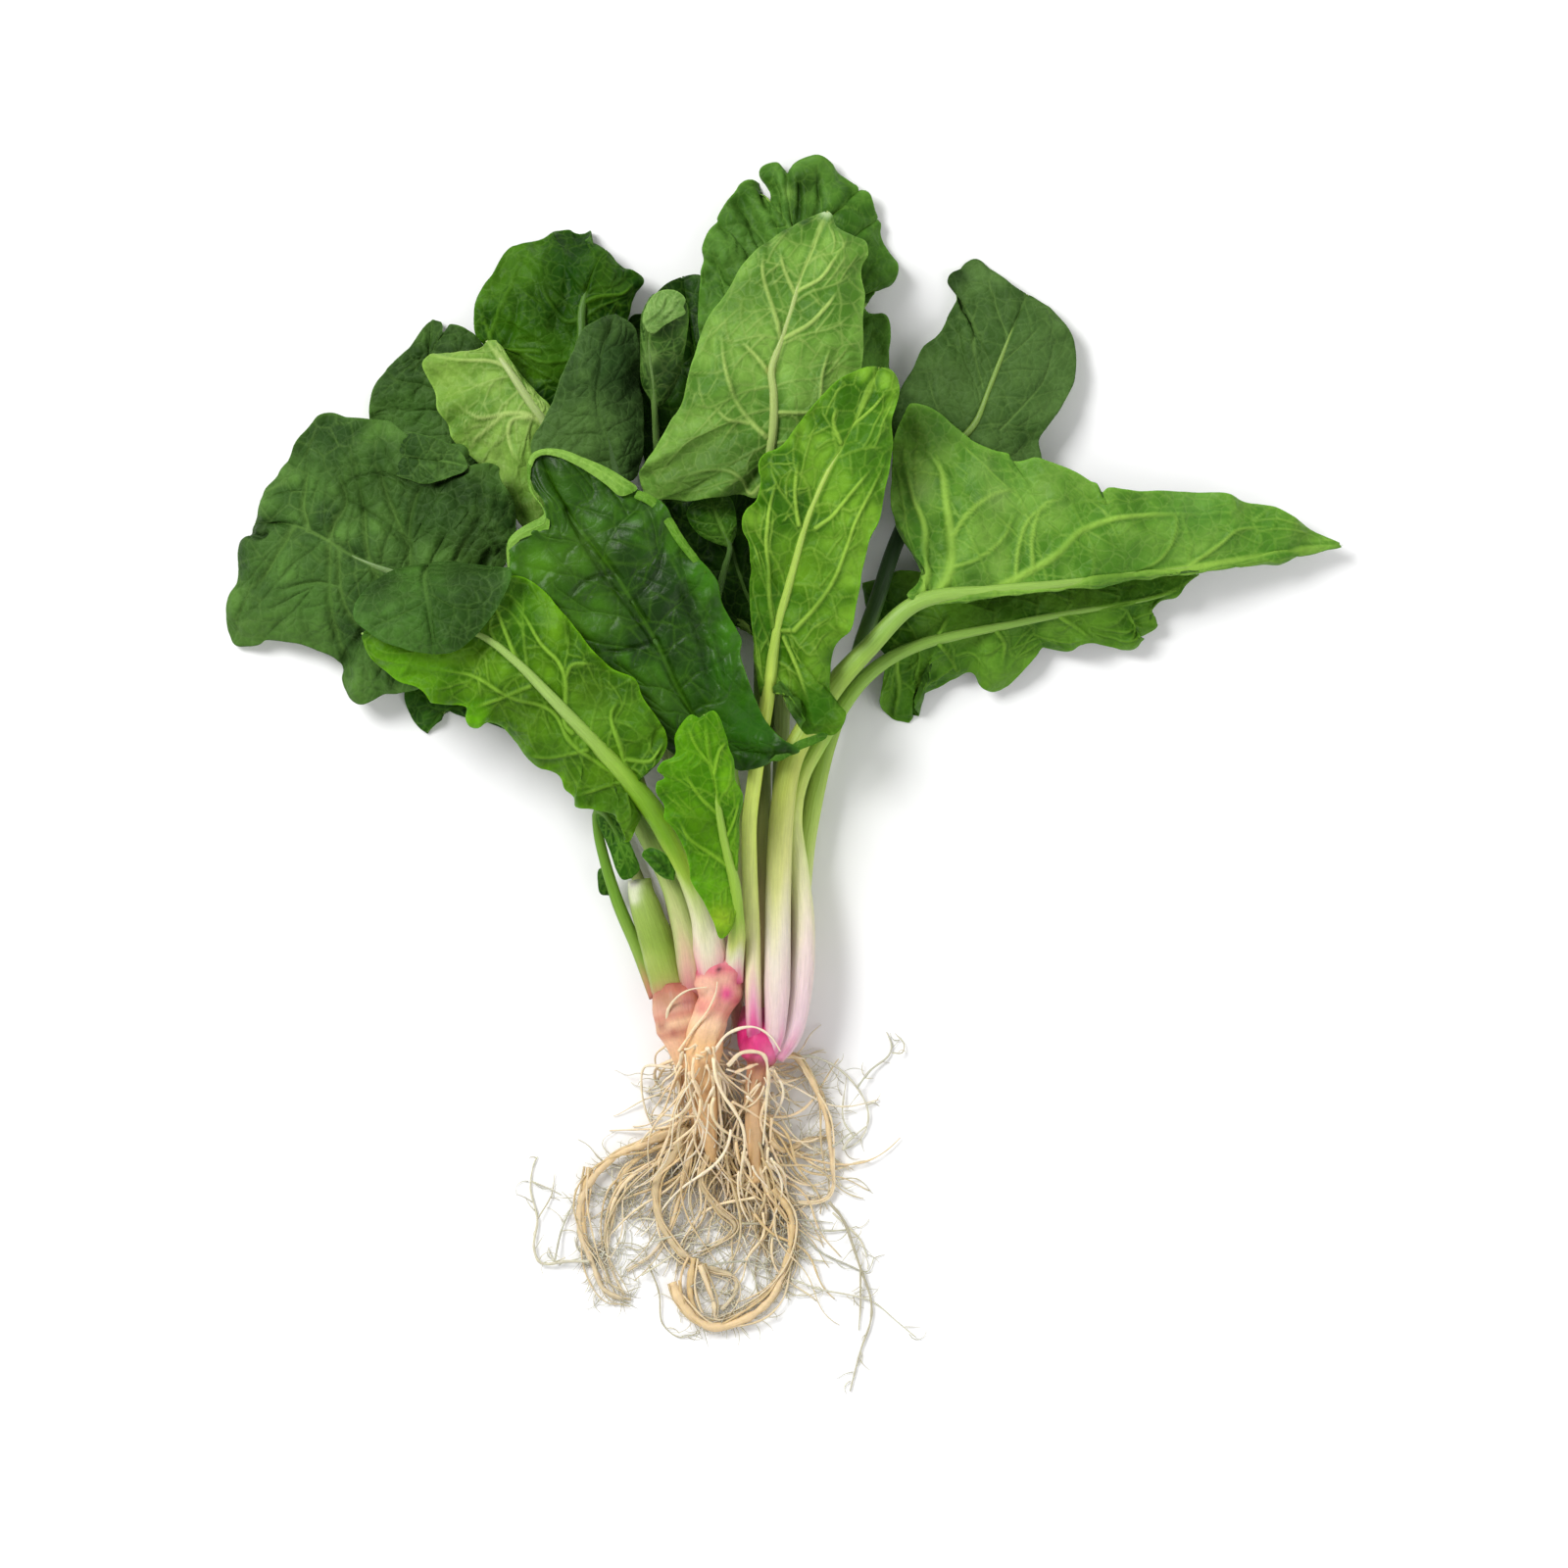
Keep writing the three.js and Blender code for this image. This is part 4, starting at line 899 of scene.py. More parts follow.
add_leaf(
    "lower_right", "leaf_green", GREEN_LEAF,
    stalk="""-2 -80 13.4, 0.8 -76 14.6, 3 -70 15.6, 4.8 -58 16.5, 5.5 -42 16.5, 4 -25 16,
        2.8 -12 15.5, 5 0 15.7, 9.5 9 16.4, 15 18 16.9, 22 27.5 17, 30 34 16""",
    rib="30 34 15.5, 40 38.5 15, 50 41 14.5, 60 43 14, 80 47 13, 95 49.5 12, 110 53 11, 119 58.5 10",
    left="25 41, 22 50, 22 56.5, 28 57, 34 59.5, 38 59.5, 50 60, 65 62, 80 62, 95 60, 108 59.5",
    right="""27.5 27, 27.5 22, 30 18, 33 16, 36.5 15.3, 38.2 18, 37.2 21.5, 45 24.5, 52 30, 54 30,
        57 26, 60 24.8, 64 26, 70 31, 75.5 36.3, 82 36, 85 38, 88 38.5, 96 37, 101 37.3, 103 39,
        102 40.5, 105 40.7, 107 43, 107.5 44.5, 109 50, 113 52, 116 57""",
    widths="0 4.2, 0.04 6.4, 0.12 7.2, 0.24 6, 0.35 4.4, 0.45 4.8, 0.55 4, 0.7 2.5, 0.85 1.5, 1 0.5",
    stops="""0 244 170 196, 0.04 250 218 226, 0.14 250 230 222, 0.24 244 246 186, 0.34 220 240 120,
        0.44 160 204 76, 0.56 146 190 74, 0.75 136 178 74, 1 126 168 66""",
    detail=FULL_DETAIL, palette="86 130 42, 108 150 60, 54 98 20, 140 180 80, 98 146 48", proud=0.3,
    bulge=0.6, relief=1.5, wave=0.9, net=4.5, seed=16,
    veins="""33 33, 33 25, 32 18: 0.9 0.5; 60 43, 63 39, 62.5 33: 0.8 0.4; 44 40, 47 46: 0.8 0.4;
        44 39, 48 34, 50 30: 0.7 0.4; 78 47, 84 43, 88 40: 0.7 0.4""",
    # the dark spots at 60 55, 95 56 and 32 50 are painted shadow along the edge of the pointing_right leaf
    # above
    spots="""60 55 14 38 74 14 0.8, 95 56 10 50 92 20 0.6, 32 50 8 34 66 14 0.8,
        34 22 6 74 122 36 0.5, 88 43 6 104 148 62 0.6, 62 32 6 106 150 60 0.5, 45 34 5 70 114 32 0.5,
        90 44 7 100 142 48 0.65, 50 50 7 116 168 58 0.65""",
)
add_leaf(
    "front_dark", "leaf_dark", GLOSSY_LEAF,
    stalk="""-12.7 -73 9.5, -13.4 -66 8, -12 -56 8, -11.3 -45 11.5, -12 -30 13.5, -12.9 -10 17,
        -14.5 0 22, -15.5 5 26""",
    rib="""-15.5 5 26, -22 12 30, -30 25 33, -36.5 39 35, -43 50 36, -48 58 37, -57 69.5 37,
        -64 80 36, -69.5 92.8 35""",
    left="""-26 4, -35 10, -44 20, -52 28, -61 37, -70 46, -78 55, -77.5 63, -78.5 66.5, -77 69,
        -72 70, -68 71.5, -66.8 75, -68 79, -71 82.5, -72.6 87, -71.5 90.5""",
    right="""-13 2.5, -5 4.5, 0 6.5, 4.5 8, 0 10.5, -5 16, -8 22, -11 30, -12.5 35.5, -12 39, -14 43,
        -17.7 50, -19 56, -22 60, -25 63, -27.5 67, -31 72, -34 77.5, -39 80, -42 82, -50 86, -58 90,
        -65 93""",
    widths="0 3.6, 0.3 3.4, 0.44 3.2, 0.6 2.2, 0.8 1.5, 1 0.7",
    stops="""0 232 170 170, 0.06 234 206 180, 0.2 214 216 150, 0.36 160 190 90, 0.46 96 140 50,
        0.55 74 116 44, 1 66 104 38""",
    detail=FULL_DETAIL, palette="40 78 14, 60 104 26, 24 54 6, 84 126 46, 62 108 28", proud=-0.8,
    underside=False, relief=0.7, wave=0.8, net=9.0, seed=17, auto=(9, 0.1),
    spots="""-58 64 9 84 122 52 0.35, -50 46 7 74 112 44 0.3, -26 38 5 22 48 4 0.5,
        -16 20 8 52 96 18 0.4, -10 10 6 60 110 20 0.4, -15 41 6 66 124 14 0.7, -8 20 8 58 116 10 0.5,
        -23 57 5 74 134 24 0.7, -18 30 5 50 106 12 0.5, -70 60 6 92 140 46 0.7,
        -60 44 6 84 128 54 0.5, -36 22 6 80 124 56 0.5, -64 84 6 60 100 24 0.5,
        -10 14 7 42 96 17 0.65""",
    vein_strength=0.4,
    creases="""-28 54, -24.5 44, -21.5 32, -19.5 22: 2.4 1.4 0.6; -20 44, -17 34,
        -15.5 26: 1.8 1 0.4; -62 76, -54 62, -44 48, -34 34: 1 0.6 0.5;
        -48 58, -56 56, -62 50: 1 0.8 0.5; -36 39, -46 36, -52 36: 1 0.8 0.5;
        -43 50, -36 58, -34 66: 1 0.7 0.4""",
)


def add_rolled_margin(name, rib, left, right, seed, bulge, palette=ROLLED_FACE):
    """A strip of margin that is rolled over and shows its pale underside."""
    add_blade(
        "leaf_front_dark_" + name, "leaf_front_dark", "leaf_pale", PALE_LEAF, rib, left, right, palette,
        seed, bulge=bulge, relief=0.15, wave=0.1, net=3.0, auto=(10, 0.02), vein_strength=0.35,
        rib_vein=(0.2, 0.2), detail=(150, 18),
    )


add_rolled_margin(
    "roll_left",
    """-77.4 57 36.4, -78.2 62 36.8, -77.8 66.2 37.4, -75.2 68.7 38.2, -71.6 70.6 38.8,
        -68.2 72 38.8, -67.2 75 38.2, -69.2 78 37.6, -71.6 81.2 37.2, -72.3 84.8 37, -72.2 89 37""",
    """-77.8 57.2 36, -78.6 62.3 36.4, -78.4 66.8 37, -76.4 69.6 37.8, -72.8 72 38.4,
        -69.2 73.8 38.2, -67.6 75.8 37.8, -69.5 78.4 37.2, -72 81.4 36.8, -72.7 85 36.6,
        -72.7 89.2 36.6""",
    """-77 57 36.4, -77.8 62 36.8, -77.2 65.8 37.4, -74.4 67.8 38.2, -70.6 69.2 38.6, -67 70.2 38.6,
        -66.7 74.4 38.2, -68.8 77.6 37.6, -71.3 81 37.2, -72 84.6 37, -71.8 88.8 37""",
    171, 0.2,
)
add_rolled_margin(
    "roll_top",
    """-72.2 88 36.8, -71 91.4 37.2, -68.8 92.6 37.6, -64 92.4 38, -57.8 90 38.4, -52 87 38.6,
        -47.6 84 38.8, -42.6 81 39""",
    """-72.6 88.2 36.4, -71.6 91.8 36.8, -69 93.2 37, -63.4 93.2 37.4, -56.8 90.8 37.8,
        -50.4 88.1 38, -45.2 85 38.2, -41.6 82.2 38.6""",
    """-71.8 88 36.8, -70.4 90.8 37.2, -68.4 91.8 37.6, -65 91.4 38, -59 88.8 38.4, -53.8 85.6 38.6,
        -50.2 83 38.8, -46.4 80 39""",
    172, 0.3,
)
add_rolled_margin(
    "roll_right",
    """-42 80.4 38.8, -39 79.4 39, -35.8 77 39.2, -32.6 73 39.4, -30 68.6 39.6, -27.6 65.2 39.6,
        -24.6 61.4 39.4, -22 58 39""",
    """-41.4 81.4 38.4, -38 80.2 38.6, -34.9 77.8 38.8, -31.6 73.4 39, -29 69 39.2, -26.8 65.8 39.2,
        -24 62 39.2""",
    """-42.4 79.6 38.8, -39.6 78.2 39, -36.6 76 39.2, -33.8 72.2 39.4, -31.2 68 39.6,
        -28.6 64.4 39.6, -25.4 60.8 39.4""",
    173, 0.25, "92 140 36, 116 162 56, 70 116 20, 140 180 80, 110 156 50",
)
add_rolled_margin(
    "roll_low", "-4 5 30.6, 0 6.8 31.2, 3 8.8 31.6, 6 10.2 31.4, 9 11.4 30.6, 12.4 12.6 29.8",
    "-2 6.8 30.8, 1 8.6 31.4, 4 10.6 31.6, 8 12 31, 11 13 30.2",
    "-1 5 30.8, 2 6.6 31.4, 5 8.2 31.6, 9 9.8 31, 12 11.4 30", 174, 0.5,
    "72 122 20, 92 142 36, 52 98 12, 110 156 60, 86 136 30",
)

# ------------------------------------------------------------------- leaves of the front plant

add_leaf(
    "front_left", "leaf_green", GREEN_LEAF,
    stalk="""-20.4 -57.5 19.4, -20.8 -53 21.5, -22.5 -40 26, -26 -30 29, -30 -22 31, -36 -11 34,
        -42 -3 36.5""",
    rib="-42 -3 36, -50 6 38, -58 14.5 40, -67 24 41, -76 33 41, -87 41 40.5, -101 43 39, -120 41 35",
    left="""-40 -8, -41 -13, -43 -18, -46 -18.5, -46.5 -12, -48.5 -10, -53 -9.5, -55 -9, -59.5 -8,
        -60 -5.5, -63 -3, -66 1, -70 2, -73.5 5.5, -78 10.5, -80 13.5, -84 15.5, -86 14, -89 14.3,
        -90.5 17, -90 20, -95 20.8, -100.5 21, -104 24.5, -109 26, -113.5 29.5, -117 33, -118.5 36""",
    right="""-38 2, -33.5 8, -33 12, -36 17, -40 23, -42 28, -49 31.5, -55 37, -60 44, -64 49,
        -70 55, -77 58, -84 54, -96 49, -110 45""",
    widths="0 8.6, 0.05 9.4, 0.12 7.6, 0.2 6.4, 0.36 6, 0.42 5, 0.55 3.6, 0.7 2.4, 0.8 1.8, 1 0.6",
    stops="""0 240 120 150, 0.03 246 196 190, 0.08 240 232 200, 0.14 220 226 166, 0.22 166 202 62,
        0.3 120 170 26, 0.38 124 174 32, 0.45 150 192 66, 0.6 162 196 100, 1 158 194 96""",
    detail=FULL_DETAIL, palette="76 118 16, 104 148 34, 46 88 6, 152 192 82, 108 162 20", proud=0.4,
    relief=1.2, wave=1.1, seed=21,
    veins="""-60 13, -62 15, -62 28, -64 33, -69 38, -73 45, -79 53: 1.1 0.4;
        -62 28, -60 32, -53 32: 0.8 0.4; -44 0, -47 10, -49 18, -47 22: 1.1 0.5;
        -45 5, -38 5, -34 10: 0.8 0.4; -47 0, -60 10, -66 19, -78 23, -88 29, -100 31: 0.9 0.4;
        -76 33, -80 44, -84 52: 0.8 0.4; -46 -1, -52 -3, -58 -5: 0.7 0.4;
        -56 8, -66 6, -72 6: 0.7 0.4; -72 26, -82 22, -88 20: 0.7 0.4""",
    spots="""-88 16 5 110 176 20 0.8, -110 30 8 98 158 20 0.7, -48 -6 9 56 96 24 0.7,
        -66 8 9 64 106 22 0.6, -74 50 8 90 142 34 0.5, -40 16 7 94 142 40 0.5,
        -54 20 7 104 146 58 0.5, -55 25 7 63 94 11 0.65, -75 20 7 52 82 8 0.65,
        -100 33 7 96 151 23 0.65, -50 2 7 97 139 22 0.65""",
)
add_leaf(
    "young_front", "leaf_pale", GREEN_LEAF,
    stalk="-14.6 -58 20.4, -14.3 -53 22.5, -13.4 -45 27, -13.5 -38 31.5",
    rib="-13.5 -38 31, -14 -30 34, -16 -22 37, -18 -12 41, -19.5 -1 45, -21 5 47, -22.5 18 50",
    left="""-16 -45 31.5, -18 -46 31.5, -20 -41 34, -23 -35 36, -26.5 -29 37.5, -27 -25 38,
        -29 -19 39, -32 -14 40, -34 -11.5 41, -34 -8 41.5, -36.5 -4 42, -36 -1 43, -34 0 43.5,
        -36 2 44, -34.5 4.5 45, -31 6.5 46, -31 12 47, -29 15.5 48, -26 18 49, -24 17 49.5""",
    right="""-13 -30 34, -13 -23 36, -12 -12 40, -12 -4.5 43, -14.5 0 44.5, -14 5 46, -15.5 10 47.5,
        -18 17 49, -20 19 49.5""",
    widths="0 5.8, 0.08 5.4, 0.2 4.6, 0.4 3, 0.7 1.8, 1 0.6",
    stops="""0 238 110 150, 0.05 246 200 196, 0.1 240 236 200, 0.16 206 218 118, 0.25 160 200 66,
        1 146 188 76""",
    detail=MIDDLE_DETAIL, palette="84 138 12, 110 162 32, 54 104 6, 150 192 70, 96 160 18", proud=0.25,
    bulge=1.0, relief=0.8, wave=0.8, net=4.0, seed=22, auto=(6, 0.1),
    veins="""-14.5 -26, -20 -22, -27 -17, -30 -12: 0.9 0.4; -18 -11, -24 -5, -29 3: 0.8 0.4;
        -20 0, -18 8, -16 10: 0.7 0.4; -17 -18, -14 -12, -13 -6: 0.6 0.3;
        -20 3, -25 9, -27 14: 0.6 0.3""",
    spots="""-18 -40 4 170 196 60 0.7, -22 -30 5 100 160 30 0.4, -22 -14 5 60 112 14 0.5,
        -22 -15 7 79 122 10 0.65, -28 5 7 98 157 16 0.65""",
)
add_leaf(
    "left_broad", "leaf_dark", MATTE_LEAF,
    stalk="""-25.4 -63 13, -26 -56 17.6, -26.6 -51 19.6, -28.6 -42 21, -32.5 -30 22, -40 -15 23,
        -52 5 24, -66 24 25, -80 42 25, -90 52 25""",
    rib="-90 52 25, -100 56 25, -112 59 24, -124 64 21, -134 70 18, -143 73 13, -152 73 7",
    left="""-92 44 23, -96 34 20, -102 27 16, -110 25 12, -114 25 10.5, -118 23 9, -121.5 22 8,
        -123.5 23 8, -125.5 26 7.5, -127 31 7, -128.5 34 7.5, -130 35 8, -134 37 8, -140 39.5 7,
        -148.5 40.7 4, -152 39.3 2.5, -157.5 38.5 1.5, -159.2 41 1.5, -160 47 2, -159.5 53 2.5,
        -158 57 3, -155 64 4.5, -152.5 69 6""",
    right="""-84 56 26, -79 61 27, -77 67 27, -76.3 75 27, -77.5 80 27, -80.5 84.5 27, -81 88 26,
        -84 89.5 26, -87 89 26, -90 88 25.5, -94 90 25, -91 94.5 25.5, -98 95 25, -105 96.5 24,
        -109 99 23.5, -112 101.5 22.5, -118.5 102.3 21, -125 103 19, -129 104.3 18, -133 103.5 16,
        -135.5 100.5 15, -140 93 13.5, -144 87.5 12, -147.5 82 10, -150.2 75.5 8""",
    widths="0 7, 0.06 8.4, 0.16 5.6, 0.3 4.6, 0.6 4.4, 0.7 2.6, 0.85 1.5, 1 0.6",
    stops="""0 236 150 160, 0.05 224 184 156, 0.1 200 204 138, 0.18 172 194 104, 0.3 120 160 60,
        0.66 110 150 66, 0.74 116 148 82, 1 128 158 92""",
    detail=FULL_DETAIL, palette="66 100 44, 92 130 62, 38 68 24, 122 156 86, 72 106 46", proud=-0.2,
    underside=False, relief=1.5, wave=1.0, seed=31, net=7.0, auto=(8, 0.1),
    veins="""-130 68, -128 73, -125 79, -128 90: 1.8 1.3; -107 60, -107 72, -105 80,
        -103 84: 1.8 1.3; -107 65, -113 80, -116 90: 1.8 1.3; -95 56, -93 63, -88 72: 1.8 1.3;
        -127 66, -127 56, -124 47, -120 42: 1.9 1.3; -130 66, -130 50, -128 40, -124 30: 1.9 1.3;
        -127 55, -135 56, -144 54: 1.6 1.2; -140 72, -146 62, -152 54: 1.8 1.3;
        -118 62, -112 48, -108 38: 1.8 1.3; -136 71, -138 80, -136 90: 1.8 1.3;
        -118 62, -120 76, -122 90: 1.6 1.2""",
    # the dark spots at -96 87, -150 71 and -86 64 are painted shade in the slits and folds there
    spots="""-96 87 5 30 52 20 0.7, -150 71 4 28 48 20 0.8, -104 90 10 64 92 46 0.6,
        -92 76 12 40 66 24 0.75, -102 72 8 44 72 26 0.6, -120 84 9 54 84 34 0.6,
        -140 54 14 88 126 64 0.6, -86 64 6 40 64 24 0.7, -134 88 7 84 120 60 0.5,
        -108 60 10 92 128 66 0.5, -124 36 8 60 94 42 0.5, -120 80 7 57 87 37 0.65,
        -100 74 7 49 79 33 0.65, -135 50 7 75 112 50 0.65""",
    vein_strength=0.42,
    creases="""-99 84.6, -94 86.4, -88.6 87.4: 1.2 2.4 1; -88 84, -86 78, -88 70,
        -92 62: 1.6 0.8 0.5; -99 84, -103 76, -106 66: 1.6 0.7 0.4;
        -92 80, -96 72, -100 62: 1.6 0.7 0.4; -107 66, -116 74, -126 80: 1.1 1 0.4;
        -84 64, -88 58, -94 54: 1.4 1.6 0.7; -124 34, -120 44, -112 52: 1.2 1.2 0.5;
        -152 70, -149 69, -147 71: 1.2 1.6 1; -104 82, -112 86, -120 86, -128 82: 1.1 1 0.4;
        -128 30, -124 38, -118 44: 1.4 1.2 0.5; -78 62, -84 70, -90 76: 1.5 0.7 0.4""",
)
add_blade(
    "leaf_left_broad_lobe", "leaf_left_broad", "leaf_dark", MATTE_LEAF,
    rib="-101 61 26, -102 57 36, -101 51 44.5, -100 43 46.5, -99 35 45",
    left="""-97 61 30, -88 60 35, -80 59 40, -77 58 44, -77.5 55 45.5, -79 52 46, -82 46.5 46.4,
        -87 40.5 46.2, -94 36 45.4""",
    right="-106 60 30, -114 57 33, -121 50 37, -122 46 40, -121 44 42, -115 39.5 43.8, -108 36.8 44.5",
    palette="58 94 36, 76 116 50, 42 72 24, 104 140 74, 66 106 44", detail=(170, 60),
    veins="""-100 52, -92 48, -84 48: 0.6 0.3; -101 50, -108 46, -116 43: 0.6 0.3;
        -100 50, -99 42, -98 37: 0.7 0.3""",
    underside=False, bulge=1.0, relief=0.8, wave=0.3, seed=32, auto=(4, 0.1),
    spots="""-92 57 6 36 60 22 0.8, -114 54 6 36 60 22 0.8, -100 45 7 50 86 28 0.6,
        -108 40 6 80 122 54 0.4""",
    vein_strength=0.45,
)
add_blade(
    "leaf_left_broad_tongue", "leaf_left_broad", "leaf_dark", MATTE_LEAF,
    rib="-113 92 23.5, -107 91.4 26, -101 90.6 27.6, -96 90 28.6, -89.8 88.6 29",
    left="-112 97 23.5, -107 98.6 25.4, -103 97.4 27, -98 96 28.2, -93.5 94.4 29, -91 91.5 29",
    right="-112 87 23.5, -107 85.4 26, -102.6 84 27.4, -98 84.8 28.4, -94 86 29, -91.4 87 29.2",
    palette="66 100 44, 90 126 62, 40 68 26, 116 150 84, 72 106 46", detail=(110, 42), underside=False,
    bulge=0.8, relief=1.0, wave=0.5, seed=38, auto=(4, 0.1), vein_strength=0.3, rib_vein=(0.3, 0.3),
)
add_leaf(
    "centre_matte", "leaf_dark", MATTE_LEAF,
    stalk="-25 -53 14.5, -26 -35 15.5, -29 -10 17, -33 20 19, -38 50 21, -43 72 22, -47 84 22",
    rib="-47 84 22, -50 95 24, -53 105 25, -53 115 25, -51 125 24, -48 132.5 21",
    left="-55 82, -64 84, -70 89, -72 95, -68 103, -63 114, -60 121, -57.5 127, -53 130.5, -50.5 132",
    right="-43 86, -41 94, -40.5 104, -41.5 114, -42 122, -43.5 129",
    widths="0 4, 0.5 4, 0.75 3, 0.9 1.6, 1 0.7",
    stops="0 236 190 180, 0.12 214 210 150, 0.4 120 158 66, 0.75 72 104 50, 1 66 96 48",
    palette="72 102 52, 86 118 64, 46 72 34, 92 124 70, 76 106 56", proud=-0.8, underside=False,
    relief=0.9, wave=0.5, seed=33, auto=(6, 0.1),
    # the dark spots at -45 112, -46 122 and -41 92 are painted shadow on the leaf's right side
    spots="""-45 112 8 24 44 16 0.9, -46 122 5 30 52 20 0.8, -58 100 9 90 122 68 0.5,
        -52 92 6 72 104 50 0.5, -41 92 4 40 66 26 0.7, -60 100 7 79 109 57 0.65,
        -62 90 7 85 117 61 0.65, -50 118 7 43 73 33 0.65""",
    vein_strength=0.35,
)
add_leaf(
    "upper_left", "leaf_green", GREEN_LEAF,
    stalk="-20.8 -53 14, -21.4 -35 12, -27 -10 10, -38 20 9, -48 55 9, -55 80 10, -59 98 12",
    rib="""-59 98 12, -60 110 13, -59 120 14, -58 127 14, -58 133 13.5, -56.5 140 12, -53 149 9,
        -51 151.5 7""",
    left="""-66 98, -74 104, -80 112, -86 122, -88.5 127, -89 133, -88 139, -84 146, -80 152,
        -77 153.5, -70 156, -67 158, -64 159.3, -61 159.3, -59 158.5, -57 156, -54 154""",
    right="-53 98, -47 106, -44 116, -45 128, -43.5 134, -42 139, -40 143, -43 146, -46 147, -49 150",
    widths="0 4.2, 0.6 4.2, 0.8 3.2, 0.9 2.4, 1 0.7",
    stops="0 232 180 180, 0.12 214 210 160, 0.4 110 150 60, 0.78 64 106 20, 1 84 128 34",
    detail=MIDDLE_DETAIL, palette="46 90 6, 74 118 22, 16 52 0, 108 152 46, 66 110 22", proud=0.25,
    relief=1.2, wave=1.0, seed=34,
    veins="""-58 132, -62 131, -66 135, -69 140, -70 147: 0.9 0.5; -58 136, -52 138, -46 139,
        -43 142: 0.9 0.5; -70 122, -84 125, -82 133, -79 140, -76 150: 0.9 0.5;
        -84 125, -87 134: 0.6 0.3; -60 120, -69 119, -75 122: 0.8 0.4;
        -57 140, -62 146, -64 153: 0.7 0.4""",
    spots="""-62 145 9 20 54 0 0.85, -66 130 8 24 58 0 0.7, -64 120 6 84 122 40 0.6,
        -80 146 8 72 112 30 0.6, -78 130 7 66 112 18 0.6, -52 124 7 40 78 10 0.6,
        -48 144 5 30 60 10 0.7, -62 156 4 34 64 14 0.6, -72 146 7 70 112 26 0.5,
        -62 145 7 24 64 4 0.65, -65 122 7 51 97 11 0.65""",
    vein_strength=0.5,
    creases="-84 118, -78 128, -76 140: 1.4 1.2 0.4; -66 130, -62 140, -62 150: 2.2 1.2 0.5",
)
add_leaf(
    "back_centre", "leaf_dark", GREEN_LEAF,
    stalk="-16.4 -53 12, -16 -45 9.5, -12 -30 7, -7 0 5.5, -4 18 5, -4.6 30 4.5",
    rib="-4.6 30 4.5, -7 44 4.5, -12 56 4.5, -17 75 4.5, -22 100 4, -26 125 3.5, -29 144.5 2",
    left="-9.7 42, -15 48, -24 44, -33 54, -38 80, -42 105, -46 125, -44 133, -39 134, -37 139, -34 142",
    right="-6 38, -4.5 50, -4 75, -7 100, -12 120, -17 136, -24 144.5",
    widths="0 4, 0.5 3.8, 0.8 2.2, 1 0.7",
    stops="0 226 180 160, 0.15 196 200 130, 0.4 90 130 46, 1 50 84 26",
    palette="30 62 12, 44 80 22, 18 44 6, 64 100 36, 40 74 18", proud=-0.8, underside=False, bulge=0.6,
    relief=0.9, wave=0.8, seed=35,
)

# --------------------------------------------------------------- small leaves of the front plant

add_leaf(
    "rolled_young", "leaf_pale", PALE_LEAF,
    stalk="""-24.3 -53 9.5, -24 -30 6.5, -27 0 6.5, -30 20 7.5, -32.5 40 9, -35.5 70 10.5,
        -36.3 90 12, -37 106 22""",
    rib="-37 106 22, -37.6 113 26, -38.4 120 29, -38.6 127 31, -37 133 33, -34 136.5 34",
    left="-38 108 22, -40.5 113 25, -41 120 28, -41 127 30, -40 133 32, -37 137.5 33",
    right="-34.5 107 21, -31 112 24, -29 118 27, -27.8 125 30, -27 131 32, -28 135.5 33",
    widths="0 2.4, 0.7 2.2, 0.85 1.6, 1 0.6",
    stops="0 226 180 160, 0.15 196 200 130, 0.5 100 140 60, 1 110 144 70",
    palette="60 94 34, 84 120 52, 34 62 16, 110 146 74, 84 122 50", proud=0.2, bulge=1.6, relief=0.35,
    wave=0.0, net=4.0, seed=36, auto=(4, 0.08), spots="-34 116 5 22 44 12 0.8, -38 120 2 130 160 96 0.7",
)
add_blade(
    "leaf_rolled_young_tip", "leaf_rolled_young", "leaf_pale", PALE_LEAF,
    rib="-38.6 127 34, -37 130 36, -33 132.5 37.4, -28.6 133.8 37",
    left="-40 130 34, -39.4 134 36, -36 138 37, -31 138.4 37.6, -28 136 37.4",
    right="-37 126.5 34.5, -34 128.6 36.4, -30.6 130.4 37.4, -28 132 37",
    palette="122 156 88, 146 178 110, 94 130 62, 164 190 128, 138 172 100", bulge=0.3, relief=0.8,
    wave=0.5, net=4.0, seed=39, auto=(5, 0.08), vein_strength=0.4, rib_vein=(0.3, 0.3),
    creases="-39 129, -35 132, -33 137: 0.7 0.9 0.5; -34 130, -31 133, -29 136: 0.6 0.8 0.4",
    spots="-36 130 3 84 120 56 0.6, -29 133 2 96 132 66 0.6",
)
add_leaf(
    "small_oval", "leaf_dark", GREEN_LEAF,
    stalk="-20.2 -53 8.7, -19 -30 6, -19 0 8, -20 30 10, -19.6 48 13, -17 60 15.4, -15.5 66 17",
    rib="-15.5 66 17, -18 72 18, -20 77 18, -21.5 81.5 17",
    left="-20 67.5, -24.5 70, -27.5 75.5, -25.5 79, -23 81.5",
    right="-13.8 70, -13.5 73, -15 79.5, -18 82", widths="0 2.4, 0.8 2, 1 0.6",
    stops="0 226 180 160, 0.15 196 200 130, 0.5 100 140 60, 1 96 136 62",
    palette="62 108 28, 90 138 50, 40 78 14, 116 156 78, 70 116 36", proud=-0.2, underside=False,
    bulge=1.0, relief=0.5, wave=0.2, net=4.0, seed=37, auto=(4, 0.1),
)

# -------------------------------------------------------------------- leaves of the left plant

